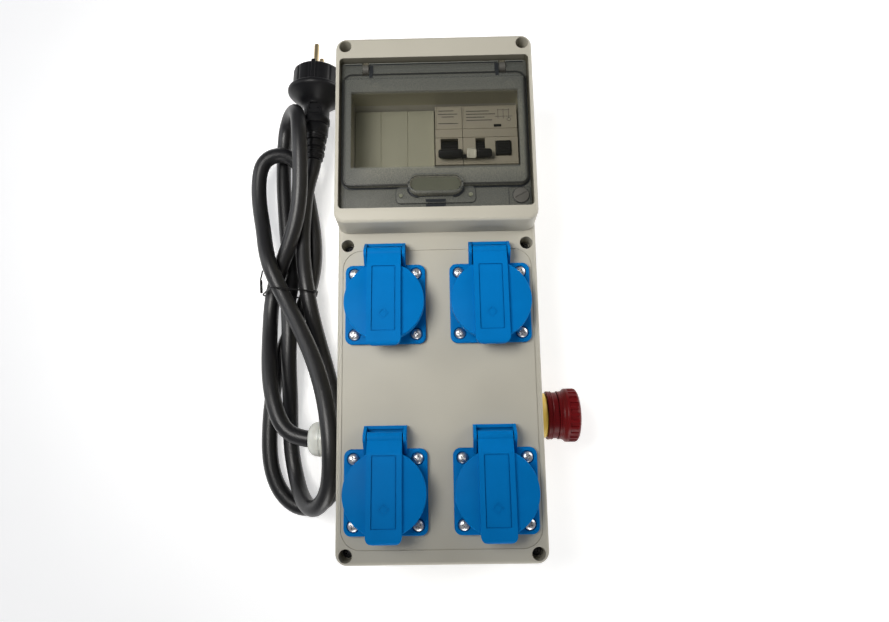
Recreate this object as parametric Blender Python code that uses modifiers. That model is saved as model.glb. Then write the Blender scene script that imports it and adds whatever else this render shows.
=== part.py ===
"""Portable power distribution box: a two-part plastic enclosure with a windowed
breaker bay, four hinged-lid earthed sockets, an emergency stop and a rubber lead.
It lies on its back: X across, Y along the box towards the window, Z out of its face."""

import math

import bmesh
import bpy
import numpy as np
from mathutils import Matrix, Vector

MM = 0.001

# Driving dimensions, in millimetres.
CASE_WIDTH = 125.0
CASE_LENGTH = 325.0
CORNER = 7.0
WALL = 3.0
REAR_RIM_Z = 55.0
GASKET_Z = (55.3, 56.3)
COVER_Z = 56.6
LOWER_Z = 76.0
RAISED_Z = 94.0
TOP_SKIN = 2.6
STEP_FOOT_Y = 37.8
STEP_TOP_Y = 39.6
POST_X = 56.3
POST_Y = (-156.8, 30.1, 156.8)
SCREW_SEAT_Z = 62.0

WINDOW_BAY = (-60.0, 60.0, 48.5, 148.7)
WELL_TOP = (-55.2, 55.4, 81.0, 133.6)
WELL_FLOOR = (-54.4, 54.4, 82.0, 128.3)
WELL_FLOOR_Z = 60.5
WINDOW_PLATE = (-59.4, 59.4, 49.2, 146.6)
WINDOW_PLATE_Z = (86.8, 89.0)
WINDOW_SKIRT_Z = 81.0
WINDOW_PANEL = (-57.9, 57.9, 63.0, 136.3)
WINDOW_PANEL_Z = 92.3
WINDOW_SKIN = 2.0
WINDOW_AXIS = (144.0, 87.5)
LUG_X = (42.0, 45.6)

RAIL_Y = 104.5
RAIL_SEAT_Z = 15.5
DEVICE_FACE_Z = 76.0
MCB_X = (0.1, 17.8)
RCD_X = (18.1, 53.7)
TOGGLE_AXIS = (94.5, 69.3)
TOGGLE_RADIUS = 7.0
TOGGLE_REST = math.radians(35.0)

SOCKET_X = 32.3
SOCKET_Y = (-8.4, -120.6)
FLANGE_HALF = 24.8
FLANGE_Z = (0.3, 3.3)
SOCKET_SCREW = 19.0
LID_RADIUS = 24.2
LID_TILT = math.radians(5.0)
LID_TOP = 14.3
HINGE_Y = 31.2
HINGE_Z = 8.4
STRAP_HALF = 10.25

STOP_Y = -77.2
GLAND_Y = -90.4
SIDE_HOLE_Z = 34.0
CORD_RADIUS = 5.5
PLUG_REAR = (-90.4, 112.4, 22.0)
PLUG_TURN = math.radians(1.6)
PLUG_FACE = 70.0
PIN_OFFSET = 9.5

# The lead, from the gland to the plug, as it lies tied in a figure of eight beside the box.
CORD_ROUTE = (
    (-87.8, -90.4, 34), (-101, -86, 33), (-113, -66, 30), (-120, -34, 20), (-122.5, -8, 11),
    (-121.5, 12, 10.3), (-114, 32, 18.6), (-101, 64, 30), (-97, 100, 38), (-98, 128, 40),
    (-101, 143, 35), (-107, 149, 24), (-114, 144, 12), (-117, 128, 6.5), (-117, 104, 6),
    (-115, 76, 6), (-111.5, 46, 6), (-108.2, 25, 7.6), (-108.5, 9, 15), (-107, -9, 18.5),
    (-107, -34, 16.5), (-107, -67, 8.5), (-106, -98, 6), (-101, -118, 10), (-94, -130, 21),
    (-84, -135, 34), (-74, -126, 45), (-70, -107, 52), (-73, -73, 51), (-85, -37, 40),
    (-98, -11, 33), (-110, 11, 29.5), (-119.5, 32, 29.2), (-127, 60, 21), (-131.5, 82, 17.5),
    (-132, 100, 18), (-127.5, 113.3, 19.3), (-116.5, 118.5, 18.2), (-105.5, 114, 14), (-100.3, 101, 9),
    (-95.5, 76, 6), (-92, 46, 6), (-94, 23, 7.6), (-101, 2, 7.4), (-113, -24, 6),
    (-120, -55, 6), (-122, -86, 6), (-119, -113, 6), (-110, -130, 6), (-96, -138, 6),
    (-81, -133, 6), (-73, -113, 6), (-74, -76, 6), (-82, -41, 6), (-89, -14, 12),
    (-94, 12, 19), (-98, 40, 17.5), (-98, 76, 17), (-94.6, 96, 20), (-91.2, 107.4, 22), (-90.5, 111.5, 22),
)

# Where the tie holds the bundle: each outer strand's x and z there, and how far out the wire passes.
TIE_Y = 13.0
TIE_STRANDS = ((-121.3, 10.6, 7.0), (-96.7, 7.8, 6.7), (-94.2, 19.1, 7.2), (-111.0, 29.5, 7.5))

FULL_ROUND = 28


def clear_scene():
    for obj in list(bpy.data.objects):
        bpy.data.objects.remove(obj, do_unlink=True)


def new_collection(name):
    collection = bpy.data.collections.new(name)
    bpy.context.scene.collection.children.link(collection)
    return collection


def material(name, colour, roughness, metallic=0.0, alpha=1.0):
    made = bpy.data.materials.new(name)
    made.use_nodes = True
    shader = made.node_tree.nodes["Principled BSDF"]
    shader.inputs["Base Color"].default_value = (*colour, 1.0)
    shader.inputs["Roughness"].default_value = roughness
    shader.inputs["Metallic"].default_value = metallic
    shader.inputs["Alpha"].default_value = alpha
    return made


clear_scene()
parts = new_collection("portable_power_distribution_box")
cutters = new_collection("cutters")

GREY = material("grey_plastic", (0.56, 0.55, 0.48), 0.45)
DEVICE = material("device_plastic", (0.66, 0.66, 0.62), 0.4)
BLANK = material("blank_plastic", (0.60, 0.58, 0.50), 0.45)
SMOKED = material("smoked_window", (0.25, 0.28, 0.27), 0.12, alpha=0.4)
BLUE = material("blue_plastic", (0.0, 0.17, 0.55), 0.4)
BLACK = material("black_plastic", (0.02, 0.02, 0.02), 0.4)
WHITE = material("white_plastic", (0.85, 0.85, 0.82), 0.4)
NYLON = material("gland_nylon", (0.80, 0.82, 0.82), 0.35)
RUBBER = material("black_rubber", (0.015, 0.015, 0.017), 0.55)
RED = material("red_plastic", (0.33, 0.01, 0.02), 0.35)
YELLOW = material("yellow_plastic", (0.80, 0.52, 0.03), 0.4)
STEEL = material("plated_steel", (0.62, 0.62, 0.62), 0.25, metallic=1.0)
BRASS = material("brass_pin", (0.70, 0.50, 0.22), 0.3, metallic=1.0)
SEAL = material("seal_foam", (0.05, 0.05, 0.05), 0.8)


# ---------------------------------------------------------------- outlines and solids

def arc(cx, cy, radius, start, end, steps):
    angles = np.radians(np.linspace(start, end, steps + 1))
    return [(cx + radius * math.cos(a), cy + radius * math.sin(a)) for a in angles]


def circle(cx, cy, radius, sides=FULL_ROUND):
    return arc(cx, cy, radius, 0, 360, sides)[:-1]


def rounded(box, radius, inset=0.0, steps=4):
    """A rectangle (x0, x1, y0, y1) with round corners, drawn in by inset."""
    x0, x1, y0, y1 = box[0] + inset, box[1] - inset, box[2] + inset, box[3] - inset
    r = max(radius - inset, 0.2)
    corners = ((x1 - r, y0 + r, -90), (x1 - r, y1 - r, 0), (x0 + r, y1 - r, 90), (x0 + r, y0 + r, 180))
    return [p for cx, cy, a in corners for p in arc(cx, cy, r, a, a + 90, steps)]


def loft(layers):
    """A closed solid through outlines of equal length, each given as (outline, z)."""
    bm = bmesh.new()
    rings = [[bm.verts.new((x * MM, y * MM, z * MM)) for x, y in outline] for outline, z in layers]
    count = len(rings[0])
    for low, high in zip(rings, rings[1:]):
        for i in range(count):
            j = (i + 1) % count
            bm.faces.new((low[i], low[j], high[j], high[i]))
    bm.faces.new(rings[0][::-1])
    bm.faces.new(rings[-1])
    return bm


def slab(outline, z0, z1):
    return loft([(outline, z0), (outline, z1)])


def box_mesh(x0, x1, y0, y1, z0, z1):
    bm = bmesh.new()
    size = Matrix.Diagonal(((x1 - x0) * MM, (y1 - y0) * MM, (z1 - z0) * MM, 1.0))
    centre = Vector((x0 + x1, y0 + y1, z0 + z1)) * (MM / 2)
    bmesh.ops.create_cube(bm, size=1.0, matrix=Matrix.Translation(centre) @ size)
    return bm


def ring_slab(outer, inner, z0, z1):
    """A flat closed band between two outlines of equal length."""
    bm = bmesh.new()
    loops = []
    for outline, z in ((outer, z0), (outer, z1), (inner, z1), (inner, z0)):
        loops.append([bm.verts.new((x * MM, y * MM, z * MM)) for x, y in outline])
    count = len(outer)
    for a, b in zip(loops, loops[1:] + loops[:1]):
        for i in range(count):
            j = (i + 1) % count
            bm.faces.new((a[i], a[j], b[j], b[i]))
    return bm


def along_x(bm):
    """Turns a solid drawn as (y, z) with its height along X."""
    for v in bm.verts:
        v.co = Vector((v.co.z, v.co.x, v.co.y))
    return bm


def merged(*meshes):
    """Several separate solids in one mesh, for a cutter."""
    bm = bmesh.new()
    for part in meshes:
        temporary = bpy.data.meshes.new("temporary")
        part.to_mesh(temporary)
        part.free()
        bm.from_mesh(temporary)
        bpy.data.meshes.remove(temporary)
    return bm


def add_object(name, bm, finish=None):
    mesh = bpy.data.meshes.new(name)
    bm.to_mesh(mesh)
    bm.free()
    obj = bpy.data.objects.new(name, mesh)
    (parts if finish else cutters).objects.link(obj)
    if finish:
        mesh.materials.append(finish)
    else:
        obj.hide_render = True
        obj.display_type = "WIRE"
    return obj


def shade(mesh):
    mesh.shade_smooth()
    mesh.set_sharp_from_angle(angle=math.radians(32))


def turned(name, profile, finish=None, sides=FULL_ROUND, closed=False):
    """A body of revolution about its own Z, from (radius, z) points running top to bottom."""
    mesh = bpy.data.meshes.new(name)
    count = len(profile)
    edges = [(i, i + 1) for i in range(count - 1)]
    if closed:
        edges.append((count - 1, 0))
    mesh.from_pydata([(r * MM, 0.0, z * MM) for r, z in profile], edges, [])
    obj = bpy.data.objects.new(name, mesh)
    (parts if finish else cutters).objects.link(obj)
    if finish:
        mesh.materials.append(finish)
    else:
        obj.hide_render = True
        obj.display_type = "WIRE"
    screw = obj.modifiers.new("Turn", "SCREW")
    screw.axis = "Z"
    screw.steps = sides
    screw.render_steps = sides
    screw.use_merge_vertices = True
    screw.merge_threshold = 0.00001
    return obj


def combine(obj, operation, *tools):
    for tool in tools:
        modifier = obj.modifiers.new(operation.title(), "BOOLEAN")
        modifier.operation = operation
        modifier.solver = "EXACT"
        modifier.object = tool
    return obj


def cut(obj, *meshes):
    tools = [add_object(f"{obj.name}_cut_{len(obj.modifiers) + i}", bm) for i, bm in enumerate(meshes)]
    return combine(obj, "DIFFERENCE", *tools)


def join(obj, *meshes):
    tools = [add_object(f"{obj.name}_add_{len(obj.modifiers) + i}", bm) for i, bm in enumerate(meshes)]
    return combine(obj, "UNION", *tools)


def baked(template, finish):
    """The finished mesh of a repeated piece, for its copies to share."""
    bpy.context.view_layer.update()
    graph = bpy.context.evaluated_depsgraph_get()
    mesh = bpy.data.meshes.new_from_object(template.evaluated_get(graph))
    mesh.materials.clear()
    mesh.materials.append(finish)
    shade(mesh)
    return mesh


def place(name, mesh, position, turn=(0.0, 0.0, 0.0), parent=None):
    obj = bpy.data.objects.new(name, mesh)
    parts.objects.link(obj)
    obj.location = Vector(position) * MM
    obj.rotation_euler = turn
    obj.parent = parent
    return obj


def pivot(name, position):
    """An empty on a joint's axis, which its moving piece hangs from."""
    empty = bpy.data.objects.new(name, None)
    parts.objects.link(empty)
    empty.empty_display_size = 0.01
    empty.location = Vector(position) * MM
    return empty


def hang(obj, empty):
    """Parents obj to an empty and keeps it where it is."""
    obj.parent = empty
    obj.location = obj.location - empty.location
    return obj


def posts(radius, z0, z1, ys=POST_Y, sides=16):
    return [slab(circle(s * POST_X, y, radius, sides), z0, z1) for y in ys for s in (-1, 1)]


# ---------------------------------------------------------------- enclosure

HALF_W = CASE_WIDTH / 2
HALF_L = CASE_LENGTH / 2
OUTLINE = (-HALF_W, HALF_W, -HALF_L, HALF_L)


def rear_case():
    layers = [(rounded(OUTLINE, CORNER, 2.0), 0.0), (rounded(OUTLINE, CORNER, 0.6), 0.6),
              (rounded(OUTLINE, CORNER), 2.0), (rounded(OUTLINE, CORNER), REAR_RIM_Z)]
    case = add_object("rear_case", loft(layers), GREY)
    cut(case, slab(rounded(OUTLINE, CORNER, WALL), WALL, REAR_RIM_Z + 5))
    join(case, merged(*posts(5.0, WALL - 1, REAR_RIM_Z - 0.4, sides=12)))
    rail_seats = [box_mesh(s * 48.5 - 4, s * 48.5 + 4, RAIL_Y - 16, RAIL_Y + 16, WALL - 1, 7.7) for s in (-1, 1)]
    join(case, merged(*rail_seats))
    stop_hole = along_x(slab(circle(STOP_Y, SIDE_HOLE_Z, 11.2, 24), HALF_W - 6, HALF_W + 4))
    gland_hole = along_x(slab(circle(GLAND_Y, SIDE_HOLE_Z, 10.3, 24), -HALF_W - 4, -HALF_W + 6))
    pilots = posts(1.6, 36.0, REAR_RIM_Z + 2, sides=8)
    cut(case, merged(stop_hole, gland_hole, *pilots))


def case_gasket():
    add_object("case_gasket", ring_slab(rounded(OUTLINE, CORNER, 0.5), rounded(OUTLINE, CORNER, 2.4), *GASKET_Z), SEAL)


def rim_layers(box, bottom_box, z0, z1):
    """An upright block with a softly rounded top edge."""
    return [(rounded(bottom_box, CORNER), z0), (rounded(box, CORNER), z1 - 2.2),
            (rounded(box, CORNER, 0.65), z1 - 0.65), (rounded(box, CORNER, 2.2), z1)]


def front_cover():
    lower = (-HALF_W, HALF_W, -HALF_L, 75.0)
    raised = (-HALF_W, HALF_W, STEP_TOP_Y, HALF_L)
    foot = (-HALF_W, HALF_W, STEP_FOOT_Y - 2.0, HALF_L)
    cover = add_object("front_cover", loft(rim_layers(lower, lower, COVER_Z, LOWER_Z)), GREY)
    join(cover, loft(rim_layers(raised, foot, COVER_Z, RAISED_Z)))

    # The hollow underneath leaves the screw posts and the well of the breaker bay standing.
    hollow = add_object("cover_hollow", slab(rounded(OUTLINE, CORNER, WALL), COVER_Z - 4, LOWER_Z - TOP_SKIN))
    inner_x = HALF_W - WALL
    far_rib = rounded((-inner_x, inner_x, WINDOW_BAY[3] + 2.4, HALF_L - WALL), 3.0)
    near_rib = rounded((-inner_x, inner_x, STEP_TOP_Y + 2.6, WINDOW_BAY[2] - 2.2), 1.5)
    top = RAISED_Z - TOP_SKIN
    join(hollow, merged(slab(far_rib, LOWER_Z - 6, top), slab(near_rib, LOWER_Z - 6, top)))
    cut(hollow, merged(*posts(5.5, COVER_Z, RAISED_Z, sides=12)))
    well = rounded((WELL_TOP[0] - 2.2, WELL_TOP[1] + 2.2, WELL_TOP[2] - 2.0, WELL_TOP[3] + 2.4), 2.0)
    cut(hollow, slab(well, WELL_FLOOR_Z, LOWER_Z))
    combine(cover, "DIFFERENCE", hollow)

    cut(cover, slab(rounded(WINDOW_BAY, 2.6), LOWER_Z, RAISED_Z + 2))
    cut(cover, loft([(rounded(WELL_FLOOR, 0.6), WELL_FLOOR_Z - 1.0), (rounded(WELL_TOP, 0.6), LOWER_Z + 0.2)]))

    y, z = WINDOW_AXIS
    lug = [(y - 3.0, LOWER_Z - 1), (WINDOW_BAY[3] + 1, LOWER_Z - 1), (WINDOW_BAY[3] + 1, z)]
    lug += arc(y, z, 3.0, 0, 180, 8)
    join(cover, merged(*[along_x(slab(lug, *sorted((s * LUG_X[0], s * LUG_X[1])))) for s in (-1, 1)]))
    peg_holes = [along_x(slab(circle(y, z, 1.8, 12), *sorted((s * 40.0, s * 47.5)))) for s in (-1, 1)]
    cut(cover, merged(*peg_holes))

    groove = (-59.3, 59.3, -153.9, 26.6)
    cut(cover, ring_slab(rounded(groove, 12.0, 0, 6), rounded(groove, 12.0, 0.5, 6), LOWER_Z - 0.5, LOWER_Z + 1))
    counterbores = posts(4.0, SCREW_SEAT_Z, RAISED_Z + 3, sides=16)
    cut(cover, merged(*counterbores))
    cut(cover, merged(*posts(2.1, COVER_Z - 2, SCREW_SEAT_Z + 1, sides=8)))
    openings = [slab(circle(s * SOCKET_X, y, 22.3, 24), LOWER_Z - 5, LOWER_Z + 2) for s in (-1, 1) for y in SOCKET_Y]
    cut(cover, merged(*openings))
    screws = [slab(circle(x, y, 1.6, 6), LOWER_Z - 5, LOWER_Z + 2) for _, x, y in socket_screw_places()]
    cut(cover, merged(*screws))


def socket_places():
    return [(row * 2 + column + 1, s * SOCKET_X, y)
            for row, y in enumerate(SOCKET_Y) for column, s in enumerate((-1, 1))]


def socket_screw_places():
    return [(f"{number}{letter}", x + dx * SOCKET_SCREW, y + dy * SOCKET_SCREW)
            for number, x, y in socket_places()
            for letter, dx, dy in (("a", -1, 1), ("b", 1, 1), ("c", -1, -1), ("d", 1, -1))]


def cover_screws():
    z = SCREW_SEAT_Z + 0.3
    profile = [(0, 2.4), (2.2, 2.2), (3.2, 1.2), (3.2, 0), (1.3, 0), (1.3, -22), (0, -23)]
    template = turned("cover_screw_template", profile, sides=8)
    mesh = baked(template, STEEL)
    for row, y in enumerate(POST_Y):
        for column, s in enumerate((-1, 1)):
            place(f"cover_screw_{row * 2 + column + 1}", mesh, (s * POST_X, y, z))


# ---------------------------------------------------------------- window

def window_cover():
    x0, x1, y0, y1 = WINDOW_PLATE
    low, top = WINDOW_PLATE_Z
    plate = [(rounded(WINDOW_PLATE, 2.4), WINDOW_SKIRT_Z), (rounded(WINDOW_PLATE, 2.4), top - 0.7),
             (rounded(WINDOW_PLATE, 2.4, 0.7), top)]
    cover = add_object("window_cover", loft(plate), SMOKED)
    panel = [(rounded(WINDOW_PANEL, 4.0), top - 1), (rounded(WINDOW_PANEL, 4.0), WINDOW_PANEL_Z - 0.9),
             (rounded(WINDOW_PANEL, 4.0, 0.9), WINDOW_PANEL_Z)]
    pull = (-17.2, 17.2, 53.4, 66.4)
    boss = [(rounded(pull, 6.4, 0, 6), top - 1), (rounded(pull, 6.4, 0.3, 6), 94.6), (rounded(pull, 6.4, 1.2, 6), 95.6)]
    pull_base = (-24.6, 24.6, 51.0, 60.0)
    base = [(rounded(pull_base, 3.0), top - 1), (rounded(pull_base, 3.0, 0.4), top + 1.1)]
    join(cover, loft(panel))
    join(cover, loft(base))
    join(cover, loft(boss))
    cut(cover, slab(rounded(WINDOW_PLATE, 2.4, WINDOW_SKIN), WINDOW_SKIRT_Z - 2, low))
    cut(cover, slab(rounded(WINDOW_PANEL, 4.0, WINDOW_SKIN), low - 1, WINDOW_PANEL_Z - WINDOW_SKIN))
    cut(cover, slab(rounded(pull, 6.4, 2.0, 6), low - 1, 93.6))

    y, z = WINDOW_AXIS
    slots = [box_mesh(*sorted((s * (LUG_X[0] - 0.4), s * (LUG_X[1] + 0.4))), y - 5.5, y1 + 2, WINDOW_SKIRT_Z - 2, 95)
             for s in (-1, 1)]
    cut(cover, merged(*slots))
    ribs = []
    pegs = []
    for s in (-1, 1):
        ribs.append(box_mesh(*sorted((s * 39.4, s * 41.6)), y - 3, y1 - 0.5, z - 3.2, z + 0.9))
        pegs.append(along_x(slab(circle(y, z, 1.4, 12), *sorted((s * 41.0, s * 44.9)))))
    join(cover, merged(*ribs))
    join(cover, merged(*pegs))
    hang(cover, pivot("window_axis", (0, y, z)))


# ---------------------------------------------------------------- breaker bay

def din_rail():
    y = RAIL_Y
    z = RAIL_SEAT_Z
    hat = [(y - 17.5, z - 1), (y - 12.75, z - 1), (y - 12.75, z - 7.5), (y + 12.75, z - 7.5), (y + 12.75, z - 1),
           (y + 17.5, z - 1), (y + 17.5, z), (y + 11.75, z), (y + 11.75, z - 6.5), (y - 11.75, z - 6.5),
           (y - 11.75, z), (y - 17.5, z)]
    add_object("din_rail", along_x(slab(hat, -54.0, 54.0)), STEEL)


def blanking_strip():
    z0, z1 = WELL_FLOOR_Z + 0.3, WELL_FLOOR_Z + 2.1
    x0 = WELL_FLOOR[0] + 0.35
    x1 = MCB_X[0] - 0.7
    strip = add_object("blanking_strip", slab(rounded((x0, x1, WELL_FLOOR[2] + 0.3, WELL_FLOOR[3] - 0.2), 0.4), z0, z1), BLANK)
    pitch = (x1 - x0) / 3
    scores = [box_mesh(x0 + k * pitch - 0.3, x0 + k * pitch + 0.3, 70, 140, z1 - 0.5, z1 + 1) for k in (1, 2)]
    cut(strip, merged(*scores))


def device_profile():
    """A rail-mounted device seen from its side, as (y, z) about the rail."""
    y, z = RAIL_Y, RAIL_SEAT_Z
    face = DEVICE_FACE_Z
    return [(y - 42.5, z - 5), (y - 15.5, z - 5), (y - 15.5, z - 1.4), (y - 17.9, z - 1.4), (y - 17.9, z + 0.3),
            (y + 17.9, z + 0.3), (y + 17.9, z - 1.4), (y + 15.5, z - 1.4), (y + 15.5, z - 5), (y + 42.5, z - 5),
            (y + 42.5, z + 33), (y + 39.5, z + 43.8), (y + 22.2, z + 43.8), (y + 20.2, face - 2.0),
            (y + 4.4, face - 1.0), (y - 2.6, face), (y - 21.3, face), (y - 22.2, z + 43.8),
            (y - 39.5, z + 43.8), (y - 42.5, z + 33)]


def toggle_pocket(x0, x1):
    """The slot a toggle swings in: round its drum below, and wide enough above for its neck."""
    y, z = TOGGLE_AXIS
    r = TOGGLE_RADIUS + 0.4
    outline = arc(y, z, r, 200, 340, 12) + [(y + 10.4, z + 2.6), (y + 10.4, z + 9), (y - 10.4, z + 9), (y - 10.4, z + 2.6)]
    return along_x(slab(outline, x0, x1))


def mcb_body():
    body = add_object("mcb_body", along_x(slab(device_profile(), *MCB_X)), DEVICE)
    cut(body, toggle_pocket(3.6, 15.0))


def rcd_body():
    body = add_object("rcd_body", along_x(slab(device_profile(), *RCD_X)), DEVICE)
    cut(body, toggle_pocket(26.2, 32.4))
    cut(body, box_mesh(39.0, 49.4, 88.6, 99.0, 68.0, 80.0))


def lever(name, drum, neck, bars, finish):
    """A toggle on its drum; bars are (x0, x1, near, far, thickness) of its grip, and it leans to rest."""
    obj = add_object(name, along_x(slab(circle(0, 0, TOGGLE_RADIUS, 24), *drum)), finish)
    pieces = [(neck[0], neck[1], 4.0, 13.5, 4.6)] + list(bars)
    for x0, x1, near, far, thick in pieces:
        join(obj, box_mesh(x0, x1, -thick / 2, thick / 2, near, far))
    obj.location = Vector((0, *TOGGLE_AXIS)) * MM
    obj.rotation_euler = (TOGGLE_REST, 0, 0)
    for tool in [m.object for m in obj.modifiers]:
        tool.parent = obj
    return obj


def toggles():
    lever("mcb_toggle", (4.0, 14.6), (4.5, 14.1), [(1.9, 17.6, 11.5, 16.5, 5.4), (17.0, 19.9, 13.0, 15.4, 2.4)], BLACK)
    lever("rcd_toggle", (26.6, 32.0), (26.9, 31.7), [(26.6, 37.6, 11.5, 16.5, 5.4)], BLACK)
    link = add_object("toggle_link", slab(rounded((20.2, 26.3, -2.9, 2.9), 1.0), 11.3, 16.8), WHITE)
    link.location = Vector((0, *TOGGLE_AXIS)) * MM
    link.rotation_euler = (TOGGLE_REST, 0, 0)


def test_button():
    layers = [(rounded((39.4, 49.0, 89.0, 98.6), 0.8), 70.3), (rounded((39.4, 49.0, 89.0, 98.6), 0.8), 76.9),
              (rounded((39.4, 49.0, 89.0, 98.6), 0.8, 0.5), 77.6)]
    add_object("test_button", loft(layers), BLACK)


# ---------------------------------------------------------------- sockets

def tilted(bm):
    """Leans a solid drawn about the socket's centre to the slope of the lid."""
    bmesh.ops.rotate(bm, verts=bm.verts, cent=(0, 0, 0), matrix=Matrix.Rotation(-LID_TILT, 3, "X"))
    return bm


def socket_body_mesh():
    flange = (-FLANGE_HALF, FLANGE_HALF, -FLANGE_HALF, FLANGE_HALF)
    layers = [(rounded(flange, 4.5, 0, 3), FLANGE_Z[0]), (rounded(flange, 4.5, 0, 3), FLANGE_Z[1] - 0.5),
              (rounded(flange, 4.5, 0.5, 3), FLANGE_Z[1])]
    body = add_object("socket_body_template", loft(layers))
    join(body, slab(circle(0, 0, 21.3), -32.0, 16.0))
    cut(body, tilted(box_mesh(-40, 40, -40, 40, LID_TOP - 3.0, 40)))
    cheek = [(21.8, 0.4), (38.4, 0.4), (38.4, 4.4)] + arc(HINGE_Y, HINGE_Z, 3.4, 30, 150, 5) + [(21.8, 5.6)]
    bridge = [(21.8, 0.4), (38.4, 0.4), (38.4, 4.4), (36.4, 4.4), (36.4, 1.9), (21.8, 1.9)]
    cheeks = [along_x(slab(cheek, *sorted((s * 10.9, s * 12.7)))) for s in (-1, 1)]
    join(body, along_x(slab(bridge, -12.0, 12.0)))
    join(body, merged(*cheeks))
    corners = [(sx * SOCKET_SCREW, sy * SOCKET_SCREW) for sx in (-1, 1) for sy in (-1, 1)]
    cut(body, merged(*[slab(circle(x, y, 3.9, 10), 2.1, 6.0) for x, y in corners]))
    cut(body, merged(*[slab(circle(x, y, 1.9, 6), -2.0, 3.0) for x, y in corners]))
    cut(body, slab(circle(0, 0, 19.6), LID_TOP - 3.0 - 17.5, 20.0))
    cut(body, merged(*[slab(circle(s * 9.5, 0, 2.8, 8), -24.0, -4.0) for s in (-1, 1)]))
    cut(body, along_x(slab(circle(HINGE_Y, HINGE_Z, 1.55, 8), -15.0, 15.0)))
    return baked(body, BLUE)


def socket_lid_mesh():
    lid = add_object("socket_lid_template", tilted(slab(circle(0, -1.0, LID_RADIUS), LID_TOP - 5.4, LID_TOP)))
    cut(lid, tilted(slab(circle(0, -1.0, 22.1), LID_TOP - 8.0, LID_TOP - 2.6)))
    slope = math.tan(LID_TILT)
    near, far = 22.0, -24.6
    top = 14.9
    profile = [(-27.2, 14.6), (-24.0, 13.9), (22.0, 13.9 - 46.0 * slope), (27.2, 7.2)]
    profile += arc(HINGE_Y, HINGE_Z, 3.6, 230, 470, 8)
    profile += [(near, top), (far, top + (near - far) * slope), (-26.6, 18.2), (-27.2, 17.0)]
    strap = add_object("strap_tool", along_x(slab(profile, -STRAP_HALF - 3, STRAP_HALF + 3)))
    plan = add_object("strap_plan", slab(rounded((-STRAP_HALF, STRAP_HALF, -27.2, 45.0), 4.2, 0, 3), 0.0, 30.0))
    combine(strap, "INTERSECT", plan)
    combine(lid, "UNION", strap)
    recess_top = (top + near * slope) * math.cos(LID_TILT)
    cut(lid, tilted(slab(rounded((-7.2, 7.2, -20.2, 20.2), 0.5, 0, 1), recess_top - 0.5, recess_top + 3)))
    cut(lid, along_x(slab(circle(HINGE_Y, HINGE_Z, 1.55, 12), -15.0, 15.0)))
    mesh = baked(lid, BLUE)
    mesh.transform(Matrix.Translation((0, -HINGE_Y * MM, -HINGE_Z * MM)))
    return mesh


def sockets():
    body = socket_body_mesh()
    lid = socket_lid_mesh()
    pin = turned("lid_pin_template", [(0, 12.4), (1.25, 12.4), (1.25, -12.4), (0, -12.4)], sides=12)
    pin_mesh = baked(pin, STEEL)
    profile = [(0, 2.3), (1.7, 2.1), (2.95, 1.0), (2.95, 0), (1.2, 0), (1.2, -9.0), (0, -9.0)]
    screw = turned("socket_screw_template", profile, sides=8)
    screw_mesh = baked(screw, STEEL)
    for number, x, y in socket_places():
        place(f"socket_body_{number}", body, (x, y, LOWER_Z))
        axis = pivot(f"socket_lid_axis_{number}", (x, y + HINGE_Y, LOWER_Z + HINGE_Z))
        place(f"socket_lid_{number}", lid, (0, 0, 0), parent=axis)
        place(f"socket_lid_pin_{number}", pin_mesh, (x, y + HINGE_Y, LOWER_Z + HINGE_Z), (0, math.pi / 2, 0))
    for label, x, y in socket_screw_places():
        place(f"socket_screw_{label}", screw_mesh, (x, y, LOWER_Z + 2.4), (0, 0, 0.5))


# ---------------------------------------------------------------- emergency stop

def facing_right(obj, inset=0.0):
    obj.location = Vector((HALF_W + inset, STOP_Y, SIDE_HOLE_Z)) * MM
    obj.rotation_euler = (0, math.pi / 2, 0)
    return obj


def hexagon(radius):
    return circle(0, 0, radius, 6)


def grip(radius, depth, ribs=20):
    """A round outline with shallow finger flutes."""
    points = []
    for k in range(ribs * 2):
        angle = math.pi * k / ribs
        r = radius if k % 2 else radius - depth
        points.append((r * math.cos(angle), r * math.sin(angle)))
    return points


def emergency_stop():
    facing_right(turned("estop_ring", [(14.0, 7.4), (14.8, 6.6), (14.8, 0.3), (11.0, 0.3), (11.0, 7.4)], YELLOW, closed=True))
    body = [(15.4, 11.3), (15.9, 10.8), (15.9, 7.7), (10.7, 7.7), (10.7, -20), (5.4, -20), (5.4, 11.3)]
    facing_right(turned("estop_body", body, RED, closed=True))
    facing_right(turned("estop_stem", [(0, 21.0), (5.0, 21.0), (5.0, -17.0), (0, -17.0)], BLACK, sides=16))
    layers = [(grip(15.9, 0), 14.8), (grip(15.9, 0), 17.9), (grip(17.6, 0), 20.4), (grip(17.6, 0.7), 21.4),
              (grip(17.6, 0.7), 26.0), (grip(16.6, 0.2), 27.6), (grip(13.5, 0), 28.9), (grip(7.0, 0), 29.8)]
    head = add_object("estop_head", loft(layers), RED)
    cut(head, slab(circle(0, 0, 14.1, 24), 12.0, 18.7))
    cut(head, slab(circle(0, 0, 5.4, 16), 15.0, 21.3))
    facing_right(head)
    for tool in [m.object for m in head.modifiers]:
        facing_right(tool)
    nut = add_object("estop_nut", ring_slab(circle(0, 0, 14.6, 24), circle(0, 0, 11.0, 24), -8.0, -3.3), BLACK)
    facing_right(nut)
    block = add_object("estop_contact_block", slab(rounded((-17.0, 17.0, -14.0, 14.0), 1.5), -48.0, -21.0), BLACK)
    facing_right(block)


# ---------------------------------------------------------------- gland, lead and plug

def facing_left(obj):
    obj.location = Vector((-HALF_W, GLAND_Y, SIDE_HOLE_Z)) * MM
    obj.rotation_euler = (0, -math.pi / 2, 0)
    return obj


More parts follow.
